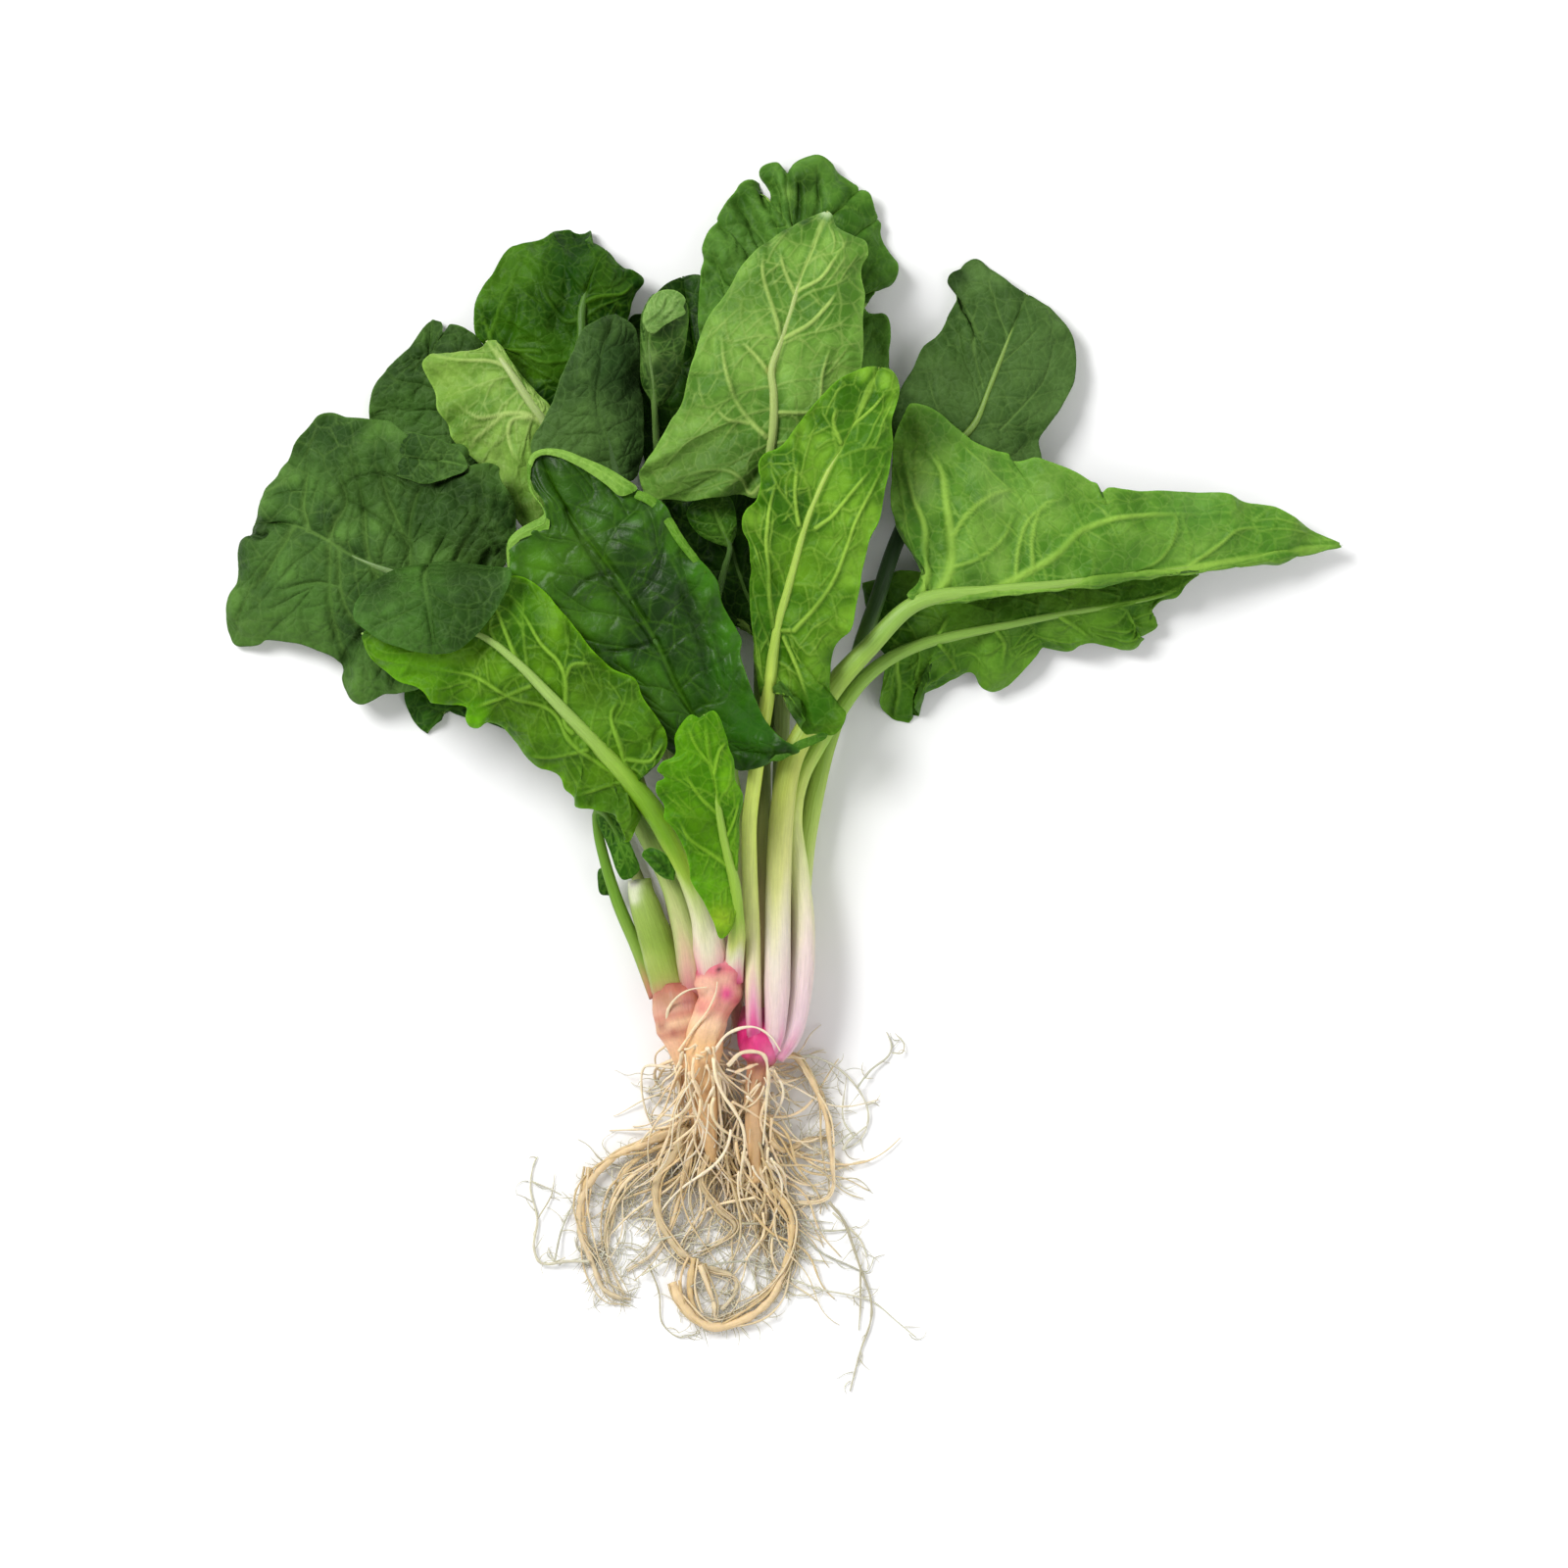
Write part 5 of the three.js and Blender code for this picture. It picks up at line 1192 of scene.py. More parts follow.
add_leaf(
    "yellow", "leaf_pale", PALE_LEAF,
    stalk="""-28.6 -62 11, -29.6 -50 12.5, -31.5 -36 14, -36 -20 15, -44 0 15, -52 25 15, -58 50 16,
        -63 75 17.5, -66 92 20, -67.5 100 21.5""",
    rib="-67.5 100 21, -73 108 21.5, -79 117 21, -85 125 18.5",
    left="""-64 90, -64 78, -67 71, -71 69.5, -75 72, -79 80, -83 86, -87 89, -90 92, -95 97,
        -96 101, -99 105, -100 110, -102 114, -103.5 119, -97 121.8, -90 122.5, -86 123.5""",
    right="-65.5 103, -71 111, -77 119.5, -82 125.5", widths="0 4.2, 0.5 4, 0.84 3.2, 0.92 2.2, 1 0.8",
    stops="0 226 160 150, 0.1 216 196 150, 0.3 150 180 90, 0.8 150 178 96, 1 186 202 134",
    palette="128 162 74, 152 184 96, 92 130 48, 190 206 136, 132 168 78", proud=0.25, bulge=0.8,
    relief=1.0, wave=0.8, net=5.0, seed=41,
    veins="""-68 101, -74 104, -80 104, -87 103, -95 108: 1.1 0.5; -76 112, -79 117, -83 119,
        -92 119.5, -103 121: 0.9 0.5; -70 103, -78 102, -78 94, -73 88: 0.9 0.4;
        -66 98, -68 88, -70 80: 0.9 0.4; -80 104, -88 97, -90 94: 0.7 0.4""",
    spots="""-72 88 7 106 136 60 0.6, -70 76 5 120 150 70 0.4, -96 112 6 140 170 84 0.4,
        -95 115 7 140 173 81 0.65, -72 90 7 149 192 88 0.65""",
)
add_leaf(
    "back_left", "leaf_dark", MATTE_LEAF,
    stalk="-27.3 -62 6, -30 -45 6.5, -36 -20 7, -46 10 7, -60 40 7, -76 65 6.5, -86 82 6",
    rib="-86 82 6, -93 95 6, -98 108 5.5, -102 120 4, -101 132 2",
    left="-98 78, -110 84, -118 94, -119 103, -118.5 110, -116 115, -111 120, -106 126, -103 130.5",
    right="-82 92, -82 105, -84 118, -87 125, -90 128, -96 130, -98 128, -98.5 131",
    widths="0 4, 0.6 4, 0.8 2.4, 1 0.8",
    stops="0 220 150 130, 0.12 200 190 130, 0.4 110 150 66, 1 86 120 62",
    palette="66 98 44, 86 122 60, 44 72 28, 104 138 76, 70 104 46", proud=-0.8, underside=False,
    bulge=0.8, relief=1.2, wave=0.9, seed=42,
    spots="-92 118 7 40 64 26 0.6, -108 100 9 76 108 56 0.5, -105 105 7 73 111 50 0.65",
    vein_strength=0.5,
)
add_leaf(
    "back_low", "leaf_dark", GREEN_LEAF,
    stalk="-32.6 -62 4.6, -38 -40 4.4, -46 -20 4.2, -56 -4 4, -66 9 4",
    rib="-66 9 4, -78 17 3.5, -90 21 3, -98 19 2, -103 13 1.2",
    left="-72 8, -80 14, -88 17.5, -95 19, -98.5 20, -99 17",
    right="-66 16, -76 28, -90 34, -102 31, -109 25, -107.5 18, -105 14.5",
    widths="0 3.6, 0.6 3.2, 1 0.8", stops="0 220 150 130, 0.15 190 190 120, 0.4 110 150 66, 1 60 100 36",
    palette="44 88 20, 60 106 34, 30 66 12, 84 128 52, 50 96 24", proud=-0.8, underside=False, bulge=0.5,
    relief=0.6, wave=0.4, seed=43,
)
add_leaf(
    "thin_left", "leaf_green", GREEN_LEAF,
    stalk="-37 -63 7, -42.5 -48 8, -47.5 -36 10, -51 -25 12, -53.5 -14 14, -53.5 -9.5 16.5",
    rib="-53.5 -9.5 16.5, -51 -10.5 19, -48.5 -14.5 20, -46.5 -20 20.5, -43.5 -28.5 19.5",
    left="-51 -7.5 19.5, -47.5 -10 20.5, -45 -16 21, -42.5 -22 21, -41.3 -26 20",
    right="-53.5 -12 18, -51.5 -16 19, -49.5 -21 19.5, -47.5 -27 19.5, -46 -29 19.4",
    widths="0 3.4, 0.3 3.6, 0.6 2.8, 0.72 2, 1 0.6",
    stops="0 206 130 110, 0.06 190 160 100, 0.14 150 184 76, 0.4 116 164 44, 1 90 140 40",
    palette="58 108 22, 78 130 36, 38 80 12, 110 156 66, 66 118 28", proud=0.4, bulge=0.6, relief=0.4,
    wave=0.4, net=4.0, seed=44, auto=(5, 0.1),
)
add_blade(
    "leaf_curled_leaflet", "leaf_front_left", "leaf_green", GREEN_LEAF,
    rib="-31.4 -29 30, -33 -26.6 31, -34.6 -24 31.6, -37.4 -22.2 31, -40 -20.8 29.6",
    left="-34 -28.4 29.6, -36.6 -26.6 30, -38.8 -24 30, -40.4 -22 29",
    right="-31 -26 31, -32.4 -23 32, -35 -20.8 32, -38 -19.8 30.6",
    palette="62 116 16, 84 140 30, 36 78 8, 110 160 60, 90 150 40", detail=(60, 15), back=PALE_FACE,
    bulge=0.6, relief=0.2, wave=0.2, net=3.0, seed=46, auto=(4, 0.1), vein_strength=0.4,
    rib_vein=(0.5, 0.3), creases="-33 -27, -35 -24, -39 -21.4: 1 0.9 0.7",
)
add_blade(
    "leaf_dark_curl", "leaf_thin_left", "leaf_green", GREEN_LEAF,
    rib="-52 -25.6 9, -51.6 -28 9.6, -51 -31 9.6, -50 -33.6 9",
    left="-50.6 -26 9, -50 -29 9.6, -49.2 -32 9.6",
    right="-53.2 -26.4 8.4, -53.4 -29.4 9, -52.6 -33.2 8.6",
    palette="50 96 18, 68 118 30, 32 66 10, 96 140 54, 60 108 24", detail=(50, 12), bulge=0.8,
    relief=0.2, wave=0.4, net=3.0, seed=47, auto=(4, 0.1), vein_strength=0.4, rib_vein=(0.5, 0.3),
)
add_stalk(
    "stalk_broken_stem", "stalk_broken", "stalk",
    points("-31.6 -65 12.4, -32.8 -59 13.2, -35.6 -49 13.6, -38.6 -40 13.8, -40.8 -33 13.8, -41.4 -29 13.6"),
    "0 9, 0.15 11, 0.4 10.6, 0.7 9, 0.9 7.4, 1 6.4",
    "0 196 110 96, 0.08 206 150 110, 0.2 166 180 84, 0.45 150 178 70, 0.8 158 186 84, 1 168 194 96",
    depth=0.03, lumps=0.02, seed=45,
    spots="""-43.4 -30.4 2.4 246 244 226 0.95, -43 -34.4 1.8 238 240 212 0.85,
        -39 -30 1.4 120 140 60 0.6, -38 -46 4 138 168 60 0.5, -33 -62 4 206 130 120 0.5,
        -39.6 -52 3 190 206 110 0.5""",
)

# ---------------------------------------------------------------------------- crowns and roots


def add_crown(name, node, path, halves, stops, spots, seed):
    """A crown and the taproot below it: a lumpy tube. Each row of halves is the share of the length,
    half the width and half the height there."""
    line = spline(points(path))
    line = along(line, np.linspace(0, 1, max(30, int(run(line)[-1] / CROWN_STEP))))
    share = run(line) / run(line)[-1]
    at, across, up = points(halves).T
    half, high = np.interp(share, at, across), np.interp(share, at, up)
    line[:, 2] = np.maximum(line[:, 2], high)
    corners, quads, triangles, shares, angles = tube(
        line, half, high, CROWN_SIDES, CROWN_RIDGES, RIDGE_DEPTH, CROWN_LUMPS, seed
    )
    tint = spots_on(tint_along(shares, stops), corners, spots)
    girth = np.interp(shares, at, across)
    grain = grain_along(girth, angles, shares * run(line)[-1] * CROWN_GRAIN + seed)
    add_piece(name, node, "crown_root", CROWN_SKIN, corners, quads, triangles, tint=tint, grain=grain)


add_crown(
    "crown_left_knob", "crown_left",
    """-31 -60 11.5, -30.6 -64 12.4, -30 -68 13, -29 -72 13, -27.4 -78 12.4, -25.4 -88 8,
        -24.4 -100 5, -24 -110 3""",
    """0 6 6.6, 0.06 7.6 7.8, 0.12 7.8 8, 0.17 7.2 7.8, 0.22 7.5 7.8, 0.3 6 6.6, 0.4 4.8 5.4,
        0.6 3.4 3.4, 0.85 2 2, 1 1 1""",
    """0 186 106 90, 0.05 204 128 104, 0.09 226 180 140, 0.13 240 190 160, 0.16 216 140 116,
        0.19 248 204 164, 0.24 222 150 122, 0.28 250 196 158, 0.36 248 196 146, 1 226 186 130""",
    """-34 -63.5 3.2 170 110 80 0.7, -27.5 -63.5 2.5 196 80 110 0.6, -35 -71 1.4 150 70 60 0.8,
        -31.5 -72.6 1.3 170 84 74 0.7, -26.5 -71 1.1 214 130 120 0.7, -36 -66 2 222 160 140 0.7""",
    51,
)
add_crown(
    "crown_front_knob", "crown_front",
    """-18.6 -52 17, -18.6 -56 17.4, -18.8 -60 17.6, -19.6 -64 17.8, -21.4 -68.5 18, -23 -75 17.6,
        -23.4 -86 15, -22 -98 11, -20.6 -110 7""",
    """0 6.2 7.2, 0.07 7.2 8, 0.14 6.8 7.4, 0.2 5.6 6.4, 0.27 4.8 5.6, 0.38 5.6 5.4, 0.58 4.4 4.6,
        0.8 2.8 2.8, 1 1.2 1.2""",
    """0 238 160 170, 0.05 232 116 130, 0.09 250 190 164, 0.17 250 184 156, 0.23 240 160 140,
        0.29 255 210 172, 0.4 255 208 152, 0.7 248 200 142, 1 226 186 130""",
    """-25.4 -55.4 1.8 206 60 100 0.8, -13 -57.5 2 224 60 120 0.8, -16.4 -61.5 2.3 232 50 140 0.95,
        -20.4 -54.8 1.8 222 90 116 0.7, -13.5 -63.6 1.6 220 70 110 0.7,
        -23.6 -66 1.5 226 120 120 0.6, -18.4 -54.6 0.8 40 20 24 0.95, -21.5 -60.5 2.4 252 208 180 0.7""",
    52,
)
add_crown(
    "crown_right_knob", "crown_right",
    """-8 -66 9, -7.6 -71 11, -7.2 -76 12.6, -6.8 -80.5 12.6, -7.6 -84 12, -9 -92 11, -8.5 -104 9,
        -8 -116 6""",
    "0 4 4, 0.1 6.2 6, 0.2 6.6 7, 0.27 5.4 6, 0.33 3.4 3.8, 0.45 2.8 3, 0.75 2.2 2.2, 1 1.2 1.2",
    """0 244 150 186, 0.08 238 110 168, 0.18 230 48 132, 0.27 236 104 150, 0.31 176 100 84,
        0.37 222 160 124, 0.5 236 194 148, 1 226 186 130""",
    """-11.4 -74 2.6 226 30 124 0.9, -8 -77 2 236 56 140 0.8, -4 -79.6 2 244 120 176 0.7,
        -11 -79.6 1.6 210 60 120 0.7""",
    53,
)


def strands(name, node, lines, radii, paint, sides, steps, seed):
    """Many root strands as one mesh: a thin tube along each path, which tapers, has slow knots and
    pales towards its tip."""
    rng = np.random.default_rng(seed)
    parts, faces, caps, tints, grains = [], [], [], [], []
    paint, pale = colour(points(paint)), colour(PALE_ROOT)
    first = 0
    for k, (line, radius) in enumerate(zip(lines, radii)):
        path = along(line, np.linspace(0, 1, steps))
        knots = 1 + ROOT_KNOTS * ripple(np.column_stack([run(path), 0 * run(path) + k * 13]), 5, seed + k)
        half = radius * (1 - ROOT_TAPER * np.linspace(0, 1, steps) ** ROOT_TAPER_CURVE) * knots
        path[:, 2] = np.maximum(path[:, 2], half + 0.05)
        corners, quads, triangles, shares, angles = tube(path, half, half, sides)
        base = np.broadcast_to(paint[k % len(paint)] * rng.uniform(1.0, 1.24), (len(corners), 3))
        tint = blend(base, pale, np.clip(shares - 0.35, 0, 1) * 0.7)
        parts.append(corners)
        faces.append(quads + first)
        caps.append(triangles + first)
        tints.append(tint)
        grains.append(grain_along(radius, angles, shares * 9 + k * 5))
        first += len(corners)
    add_piece(
        name, node, "crown_root", ROOT_SKIN, np.vstack(parts), np.vstack(faces), np.vstack(caps),
        tint=np.vstack(tints), grain=np.vstack(grains),
    )


PALE_ROOT = (222, 218, 196)
ROOT_KNOTS = 0.18  # how much a root's girth swells and shrinks
ROOT_TAPER = 0.6  # share of a root's radius gone at its tip
ROOT_TAPER_CURVE = 1.5
BESIDE_RADIUS = 0.34
HAIR_LENGTH = 6.0
HAIR_RADIUS = 0.13
WARM_ROOTS = "232 204 158, 216 188 138, 240 218 178, 210 188 146"
WARM_REVERSED = "210 188 146, 240 218 178, 216 188 138, 232 204 158"
GREY_ROOTS = "206 202 182, 194 192 174, 216 210 186, 190 182 156"
CREAM_ROOTS = "248 228 192, 244 218 178, 250 234 204"


def root_path(p, high, low):
    """A root's plan view with heights that fall smoothly from high to low along it."""
    share = run(p) / run(p)[-1]
    return spline(np.column_stack([p, low + (high - low) * (1 - share) ** 2]))


def companions(lines, count, spread, seed):
    """Paths that wander beside others: each line shifted sideways by spread times a slow ripple."""
    drifted = []
    for k, line in enumerate(lines):
        _, side, _ = frames(line)
        for n in range(count):
            place = np.column_stack([run(line), np.zeros(len(line))])
            shift = spread * ripple(place, 40, seed + 31 * k + n, 4)
            shift = shift + spread * 0.5 * (n - count / 2 + 0.5)
            drifted.append(line + side * shift[:, None] + np.array([0, 0, 0.4 * n]))
    return drifted


def rootlets(lines, apart, length, seed):
    """Short hairs off other roots: one every apart millimetres, leaving its root at 30 to 80 degrees
    to either hand and curling as it goes."""
    rng = np.random.default_rng(seed)
    starts, headings = [], []
    for line in lines:
        heading, _, _ = frames(line)
        share = rng.uniform(0.1, 1, max(1, int(run(line)[-1] / apart)))
        starts.append(along(line, share))
        headings.append(along(np.column_stack([line, heading[:, :2]]), share)[:, 3:])
    start, heading = np.vstack(starts), np.vstack(headings)
    count, steps = len(start), 10
    turn = rng.choice([-1, 1], count) * rng.uniform(0.5, 1.4, count)
    bearing = np.arctan2(heading[:, 1], heading[:, 0]) + turn
    curl = rng.normal(0, 1.2, (count, 1)) * np.linspace(0, 1, steps)
    size = length * rng.uniform(0.3, 1.3, (count, 1)) / steps
    step = np.stack([np.cos(bearing[:, None] + curl), np.sin(bearing[:, None] + curl)], -1)
    plan = start[:, None, :2] + np.cumsum(step * size[..., None], axis=1)
    drop = np.linspace(1, 0.5, steps)[None, :]
    return list(np.concatenate([plan, (start[:, 2:3] * drop)[..., None]], -1))


THICK_LEFT = """-28 -97, -32 -101, -40 -105, -49 -109, -57 -118, -59 -125, -58 -133, -55 -140,
    -52 -147, -46 -150: 1.25 6; -29 -100, -33 -104, -45 -112, -48 -120, -50 -130, -54 -138: 0.8 5;
    -28 -104, -30 -108, -40 -112, -47 -118, -51 -130, -50 -140, -46 -149: 0.75 5;
    -28 -100, -31 -107, -36 -114, -37 -120, -35 -129, -30 -136, -24 -140, -14 -144, -14 -148,
    -18 -153: 1.25 6; -26 -104, -27 -108, -30 -120, -33 -130, -38 -137, -45 -142: 0.9 7;
    -56 -112, -58 -122, -57 -133, -54 -142, -50 -149, -44 -150: 0.8 3"""
THICK_FRONT = """-32 -145, -30 -150, -25 -156, -20 -158, -10 -155, -4 -150, 0 -142, 3 -132, 2 -124,
    -3 -116, -8 -108: 1.35 3; -26 -138, -27 -148, -24 -156, -18 -157.5, -10 -154: 1 3;
    -24 -140, -22 -146, -20 -152, -20 -158: 0.9 4; -22 -108, -24 -116, -19 -124, -14 -129, -22 -136,
    -30 -140: 0.8 8; -4 -104, 0 -107, 7 -104, 13 -103.5: 0.9 8; -3 -118, 2 -126, 1 -138, -4 -147,
    -12 -153, -20 -156: 0.95 6; -8 -110, -4 -120, 1 -127, 4 -131, 2 -140, -2 -146: 0.8 8"""
THICK_RIGHT = """-4 -80, 3 -80, 5 -82, 9 -89, 12 -97, 13 -103, 14 -112, 14 -118, 12 -121, 4 -122,
    -5 -118: 0.85 10; 4 -81, 7 -85, 10 -91, 13 -101: 0.8 7; -9 -84, -10 -92, -9 -100, -7 -108,
    -4 -115, 0 -122: 1.5 12; -8 -90, -6 -98, -8 -106, -12 -114, -10 -120: 1.1 11"""
FINE_OUTER = """2 -80, 8 -80, 15 -83, 21 -89, 24 -95, 24 -100, 21 -105, 17 -107: 0.4 8;
    21 -89, 25 -84, 30 -80, 31 -77, 29.5 -73: 0.38 3; 31 -79, 34 -79, 34.5 -76.5, 32 -73.5: 0.25 3;
    13 -122, 17 -127, 20 -135, 22 -141, 25 -150, 25 -156, 22 -165, 19 -176.5: 0.45 3;
    2 -144, 10 -147, 20 -149, 26 -151, 32 -156, 38 -161: 0.3 3; 4 -130, 10 -136, 18 -140, 24 -142,
    26 -138: 0.35 3; 14 -125, 22 -133, 24 -138: 0.35 3; 22 -142, 22 -152, 21.5 -159: 0.35 2;
    5 -128, 10 -130, 18 -130, 21 -129: 0.35 3; 3 -127, 9 -127.5, 14 -128: 0.35 3;
    -56 -139, -62 -139, -70 -139.5, -72 -135, -71 -127, -73 -118, -72 -111, -71 -109: 0.42 3;
    -71 -127, -67 -120, -66 -114: 0.25 2; -73 -116, -68 -118, -64 -120: 0.25 2;
    -66 -139, -64 -130, -60 -121: 0.35 3; -63 -138, -66 -139, -68 -135: 0.25 2;
    -39 -140, -36 -148, -35 -157, -30 -161, -24 -159.5: 0.28 2; 20 -103, 17 -98, 18 -86: 0.3 4;
    14 -106, 20 -102, 21 -103: 0.35 4; -34 -129, -38 -127, -42 -127, -45 -130: 0.3 3;
    -12 -128, -2 -128, 6 -127: 0.4 6; -37 -133, -24 -130, -12 -128.5: 0.4 4;
    2 -100, 1 -97, 1.5 -94: 0.3 8; -41 -143, -33 -138, -28 -134, -20 -135, -14 -139: 0.3 3;
    24 -94, 26 -93.5, 27.5 -94.5: 0.2 2; 17 -107, 18 -105, 24 -100: 0.4 3;
    -22 -140, -12 -139, -2 -140, 4 -137: 0.35 5; 0 -134, 6 -138, 14 -139.5: 0.3 4"""
ARCHING = """-33.5 -70, -33 -66, -30.5 -62.5, -27 -60.4, -22 -59.6: 0.42 18 25;
    -30 -78, -26 -72, -21.6 -66, -19.4 -61, -19 -58: 0.45 20 26; -20 -78, -16 -73, -9 -71, -4 -73.6,
    -1 -78: 0.5 22 22; -16 -82, -12 -78.4, -6 -79, -4.6 -84, -5 -92, -6 -105: 0.6 24 14;
    -14 -84, -5 -81, 3 -80, 6 -80.5: 0.45 22 12; -22 -77, -19 -82, -17 -90, -19 -98,
    -20 -106: 0.6 23 10; -25 -76, -27 -84, -26 -92, -22 -100: 0.6 22 12;
    -33 -76, -37 -80, -36 -84, -30 -84: 0.35 10; -32 -83, -40 -83, -41 -88, -39 -98,
    -33 -107: 0.4 10; -29 -78, -30 -86, -29 -94, -26 -104, -22 -112: 0.6 20;
    -30 -80, -37 -84, -36.5 -88, -31 -91: 0.6 12; -28 -74, -31 -82, -30 -92, -28 -102: 0.55 18;
    -26 -86, -22 -94, -18 -102, -14 -112, -11 -120: 0.65 22; -27 -84, -25 -96, -20 -106,
    -15 -118: 0.6 22; -19 -84, -16 -88, -18 -94, -22 -97, -26 -96: 0.5 22"""


def root_set(name, node, table, paint, beside=0, spread=1.0, hairs=0.0, **shape):
    """The roots of a table, thinner ones beside them, and hairs off both. Each root has its radius,
    its height at its start and, where it doesn't come down to the table, at its end."""
    table, seed = drawn_lines(table), shape["seed"]
    lines = [root_path(p, high, *(end or [max(0.6, radius)])) for p, radius, high, *end in table]
    extra = companions(lines, beside, spread, seed)
    if extra:
        strands(
            name + "_beside", node, extra, [BESIDE_RADIUS] * len(extra), WARM_REVERSED, 6, 60, seed + 5
        )
    strands(name, node, lines, [row[1] for row in table], paint, **shape)
    if hairs:
        fine = rootlets(lines + extra, hairs, HAIR_LENGTH, seed + 9)
        strands(name + "_hairs", node, fine, [HAIR_RADIUS] * len(fine), GREY_ROOTS, 4, 8, seed + 11)


root_set(
    "roots_thick_left", "crown_left", THICK_LEFT, WARM_ROOTS, 3, 1.6, 4.0,
    sides=10, steps=90, seed=61,
)
root_set(
    "roots_thick_front", "crown_front", THICK_FRONT, WARM_ROOTS, 3, 1.6, 4.0,
    sides=10, steps=90, seed=62,
)
root_set(
    "roots_thick_right", "crown_right", THICK_RIGHT, WARM_ROOTS, 2, 1.2, 3.0,
    sides=10, steps=70, seed=63,
)
root_set("roots_fine_outer", "crown_right", FINE_OUTER, GREY_ROOTS, 0, 0, 5.0, sides=6, steps=60, seed=64)
root_set("roots_arching", "crown_front", ARCHING, CREAM_ROOTS, sides=8, steps=60, seed=65)

THREAD_STEPS = 24


def grown_threads(
    count, start, spread, heading, fan, length, curl, high, seed, least=0.25, fall=0.0
):
    """Thread paths grown step by step as one array: each starts at random in a box and heads in a
    direction that drifts by a slow random turn. The height falls to the table from between least
    times high and high, at once, or late where fall is given."""
    rng = np.random.default_rng(seed)
    steps = THREAD_STEPS
    s = np.linspace(0, 1, steps)
    where = np.array(start) + rng.uniform(-1, 1, (count, 2)) * np.array(spread)
    bearing = np.radians(heading + rng.normal(0, fan, (count, 1)))
    swing = rng.normal(0, curl, (count, 1)) * s + 0.35 * np.sin(
        s * rng.uniform(4, 11, (count, 1)) + rng.uniform(0, 6, (count, 1))
    )
    size = length * rng.uniform(0.5, 1.2, (count, 1)) / steps
    step = np.stack([np.cos(bearing + swing), np.sin(bearing + swing)], -1) * size[..., None]
    plan = where[:, None, :] + np.cumsum(step, axis=1)
    top = rng.uniform(least, 1, (count, 1)) * high
    left = 1 - s**fall if fall else (1 - s) ** 1.3
    z = 0.5 + (top - 0.5) * left + 0.5 * rng.uniform(0, 1, (count, 1))
    return np.concatenate([plan, z[..., None]], -1)


def thread_mass(name, node, groups, paint, radius, seed):
    """One mesh of grown threads. Each group is a row of grown_threads' values."""
    lines = [line for group in groups for line in grown_threads(*group)]
    rng = np.random.default_rng(seed)
    radii = radius * rng.uniform(0.6, 1.4, len(lines))
    strands(name, node, lines, radii, paint, sides=5, steps=22, seed=seed)


thread_mass(
    "roots_cream_front", "crown_front",
    [
        (26, (-24, -82), (5, 7), -86, 20, 44, 0.9, 20, 71),
        (30, (-20, -92), (7, 7), -74, 22, 42, 0.9, 17, 72),
        (14, (-26, -78), (4, 4), -110, 30, 22, 1.2, 20, 73),
        (12, (-20, -80), (4, 4), -40, 30, 20, 1.2, 21, 74),
    ],
    CREAM_ROOTS, 0.36, 75,
)
thread_mass(
    "roots_over_taproot", "crown_front",
    [
        (9, (-25, -78), (5, 3), -88, 16, 46, 1.0, 25, 93, 0.85, 1.5),
        (9, (-24, -86), (6, 6), -96, 24, 36, 1.3, 21, 94, 0.8, 1.4),
        (7, (-19, -82), (3, 5), -62, 24, 34, 1.3, 21, 95, 0.8, 1.4),
        (5, (-26, -80), (4, 3), -20, 50, 20, 2.4, 24, 96, 0.9, 1.6),
        (4, (-30, -84), (2, 4), -140, 40, 18, 2.0, 14, 97, 0.7, 1.4),
    ],
    CREAM_ROOTS + ", 240 218 178", 0.42, 98,
)
thread_mass(
    "roots_over_right", "crown_right",
    [
        (6, (-8, -86), (3, 3), -92, 20, 34, 1.0, 17, 101, 0.85, 1.5),
        (5, (-6, -82), (3, 2), -50, 40, 24, 1.4, 17, 102, 0.85, 1.4),
    ],
    CREAM_ROOTS, 0.38, 103,
)
thread_mass(
    "roots_cream_right", "crown_right",
    [
        (24, (-8, -88), (4, 6), -92, 16, 40, 0.5, 16, 76),
        (22, (-8, -104), (6, 8), -80, 22, 28, 0.8, 12, 77),
        (10, (-6, -84), (3, 3), -20, 40, 18, 1.0, 12, 78),
    ],
    CREAM_ROOTS, 0.36, 79,
)
thread_mass(
    "roots_tan_mass", "crown_front",
    [
        (34, (-16, -100), (9, 8), -86, 24, 36, 1.0, 12, 81),
        (26, (-10, -112), (9, 8), -80, 34, 32, 1.2, 8, 82),
        (18, (-26, -104), (5, 6), -112, 26, 40, 1.0, 8, 83),
        (14, (-4, -116), (6, 8), -85, 26, 34, 1.1, 6, 92),
    ],
    WARM_ROOTS, 0.38, 84,
)
thread_mass(
    "roots_grey_fine", "crown_left",
    [
        (22, (-42, -116), (8, 7), -110, 50, 20, 1.6, 3, 85),
        (20, (-50, -132), (5, 9), -80, 90, 12, 1.8, 2, 86),
        (26, (-4, -132), (7, 9), -60, 80, 16, 1.6, 4, 87),
        (16, (-24, -140), (8, 8), -90, 90, 14, 1.8, 3, 88),
        (14, (8, -110), (8, 8), -60, 80, 12, 1.6, 4, 89),
        (10, (-34, -90), (4, 8), 180, 50, 12, 1.6, 8, 90),
    ],
    GREY_ROOTS, 0.2, 91,
)

# ------------------------------------------------------------------ table, lights and camera

FRAME_WIDTH = 0.448
LENS = 200.0
SENSOR = 36.0
EYE_PLANE = 0.02
VIEW_SHIFT = -1.68  # the middle of the view from the middle of the drawing, in millimetres
TABLE_HALF = 6.0


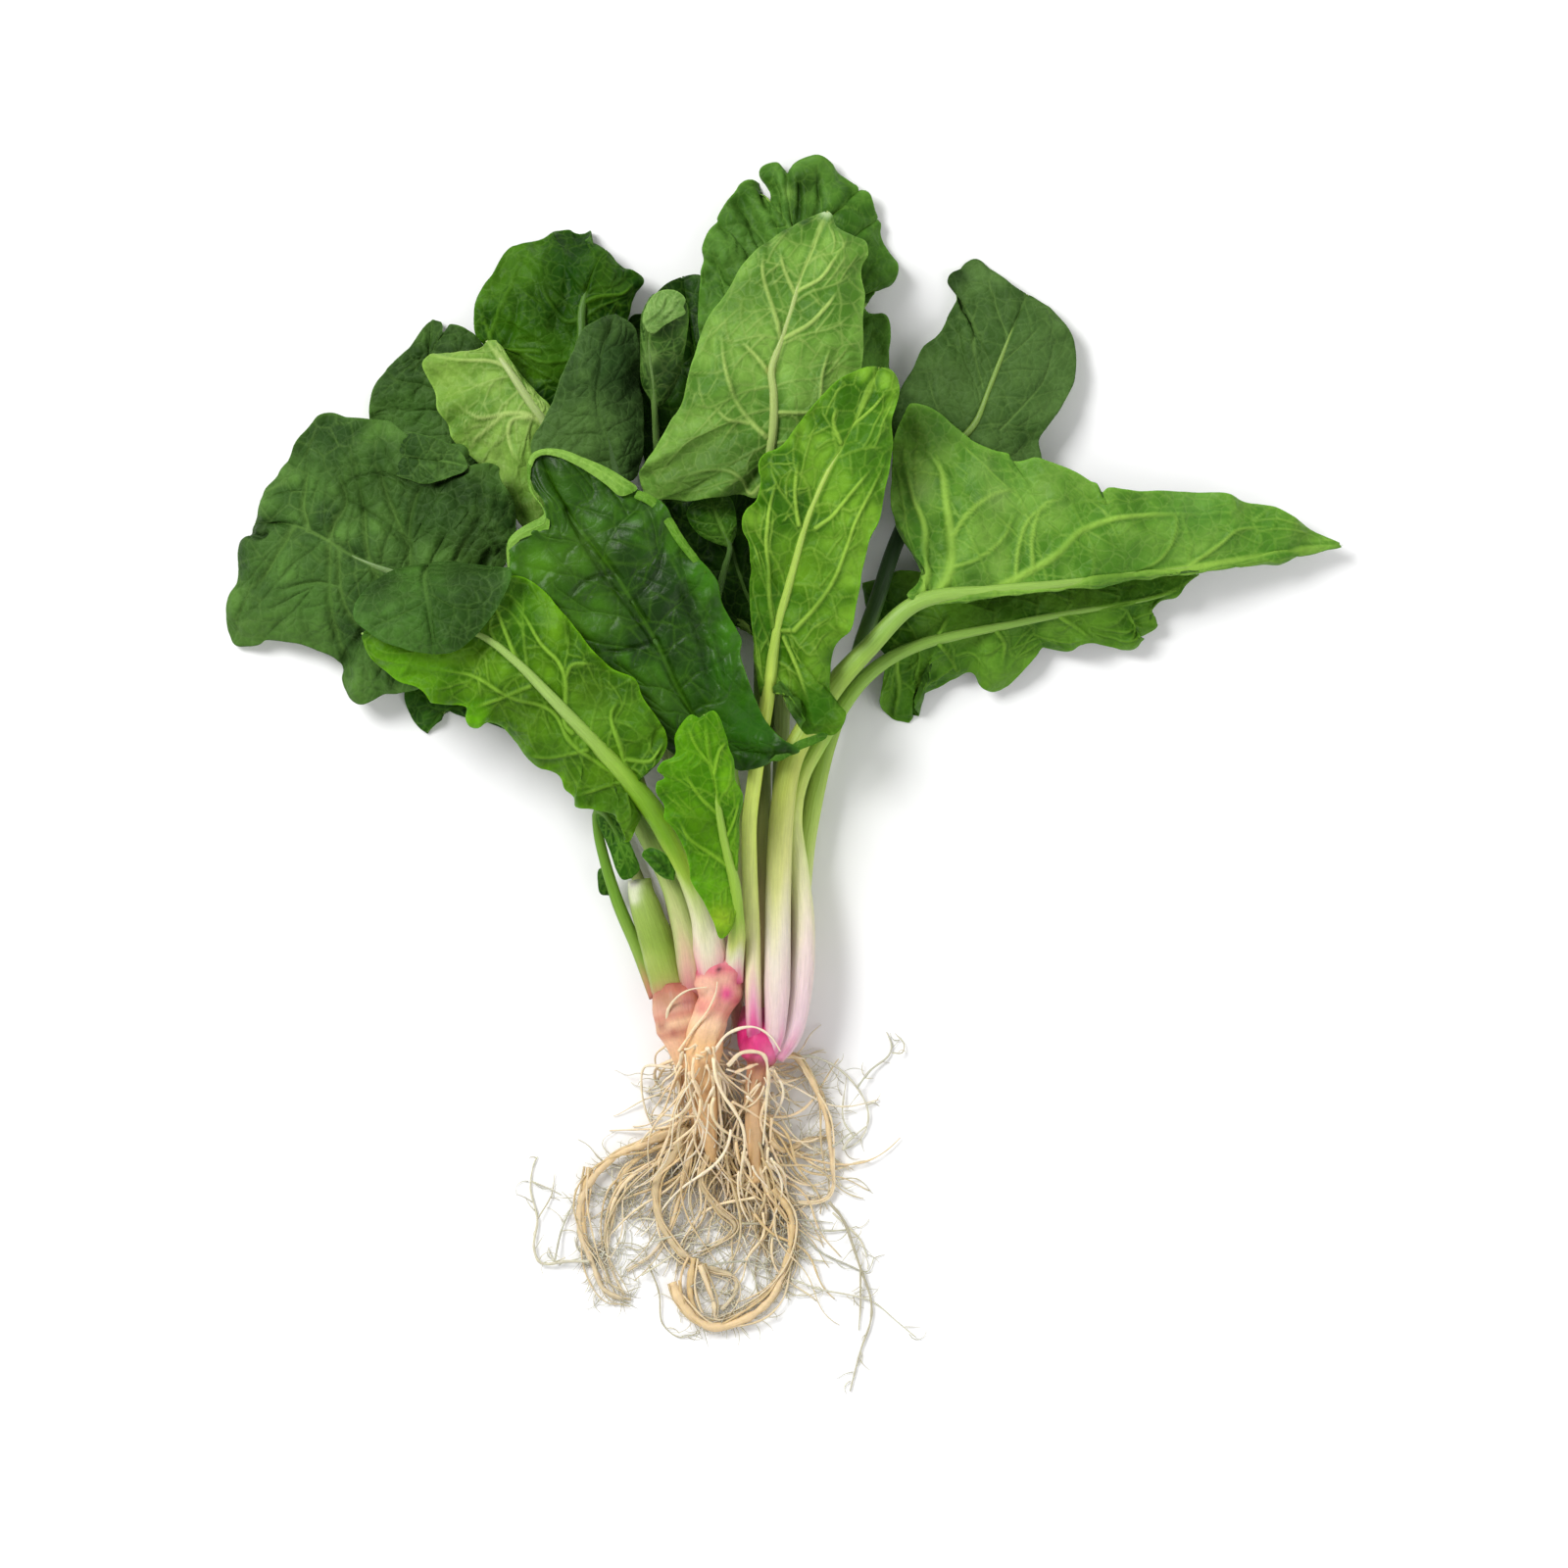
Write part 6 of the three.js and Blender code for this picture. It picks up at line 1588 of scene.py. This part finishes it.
def add_table():
    """A wide pale sheet under the bunch."""
    material = bpy.data.materials.new("pale_table")
    material.use_nodes = True
    shader = next(n for n in material.node_tree.nodes if n.type == "BSDF_PRINCIPLED")
    shader.inputs["Base Color"].default_value = (0.92, 0.92, 0.92, 1)
    shader.inputs["Roughness"].default_value = 0.8
    shader.inputs["Specular IOR Level"].default_value = 0.1
    a = TABLE_HALF
    mesh = bpy.data.meshes.new("table")
    mesh.from_pydata([(-a, -a, 0), (a, -a, 0), (a, a, 0), (-a, a, 0)], [], [(0, 1, 2, 3)])
    mesh.materials.append(material)
    table = bpy.data.objects.new("table", mesh)
    bpy.context.scene.collection.objects.link(table)


def add_softbox(name, place, size, watts):
    """A square area light that faces the middle of the bunch."""
    light = bpy.data.lights.new(name, "AREA")
    light.shape = "SQUARE"
    light.size = size
    light.energy = watts
    lamp = bpy.data.objects.new(name, light)
    lamp.location = place
    lamp.rotation_mode = "QUATERNION"
    lamp.rotation_quaternion = (-Vector(place)).to_track_quat("-Z", "Y")
    bpy.context.scene.collection.objects.link(lamp)


def add_world():
    """Pale sky, dimmer overhead than round the horizon, for soft light from the sides."""
    world = bpy.data.worlds.new("studio")
    world.use_nodes = True
    tree = world.node_tree
    background = next(n for n in tree.nodes if n.type == "BACKGROUND")
    place = tree.nodes.new("ShaderNodeTexCoord")
    split = tree.nodes.new("ShaderNodeSeparateXYZ")
    tree.links.new(place.outputs["Generated"], split.inputs[0])
    ramp = tree.nodes.new("ShaderNodeValToRGB")
    ramp.color_ramp.elements[0].position = 0.35
    ramp.color_ramp.elements[0].color = (0.95, 0.95, 0.95, 1)
    ramp.color_ramp.elements[1].position = 0.95
    ramp.color_ramp.elements[1].color = (0.3, 0.3, 0.3, 1)
    tree.links.new(split.outputs["Z"], ramp.inputs[0])
    tree.links.new(ramp.outputs[0], background.inputs["Color"])
    background.inputs["Strength"].default_value = 0.95
    bpy.context.scene.world = world


def add_camera():
    """Looks straight down near the middle of the drawing, with FRAME_WIDTH across the view."""
    data = bpy.data.cameras.new("camera")
    data.lens = LENS
    data.sensor_width = SENSOR
    data.clip_end = 50
    camera = bpy.data.objects.new("camera", data)
    above = FRAME_WIDTH * LENS / SENSOR + EYE_PLANE
    camera.location = (ORIGIN[0] * MM, (ORIGIN[1] + VIEW_SHIFT) * MM, above)
    bpy.context.scene.collection.objects.link(camera)
    bpy.context.scene.camera = camera


add_table()
add_world()
add_softbox("key", (-0.9, 0.75, 1.3), 0.7, 27)
add_softbox("fill", (1.0, -0.6, 1.2), 1.2, 7)
add_camera()
bpy.context.scene.view_settings.view_transform = "Standard"
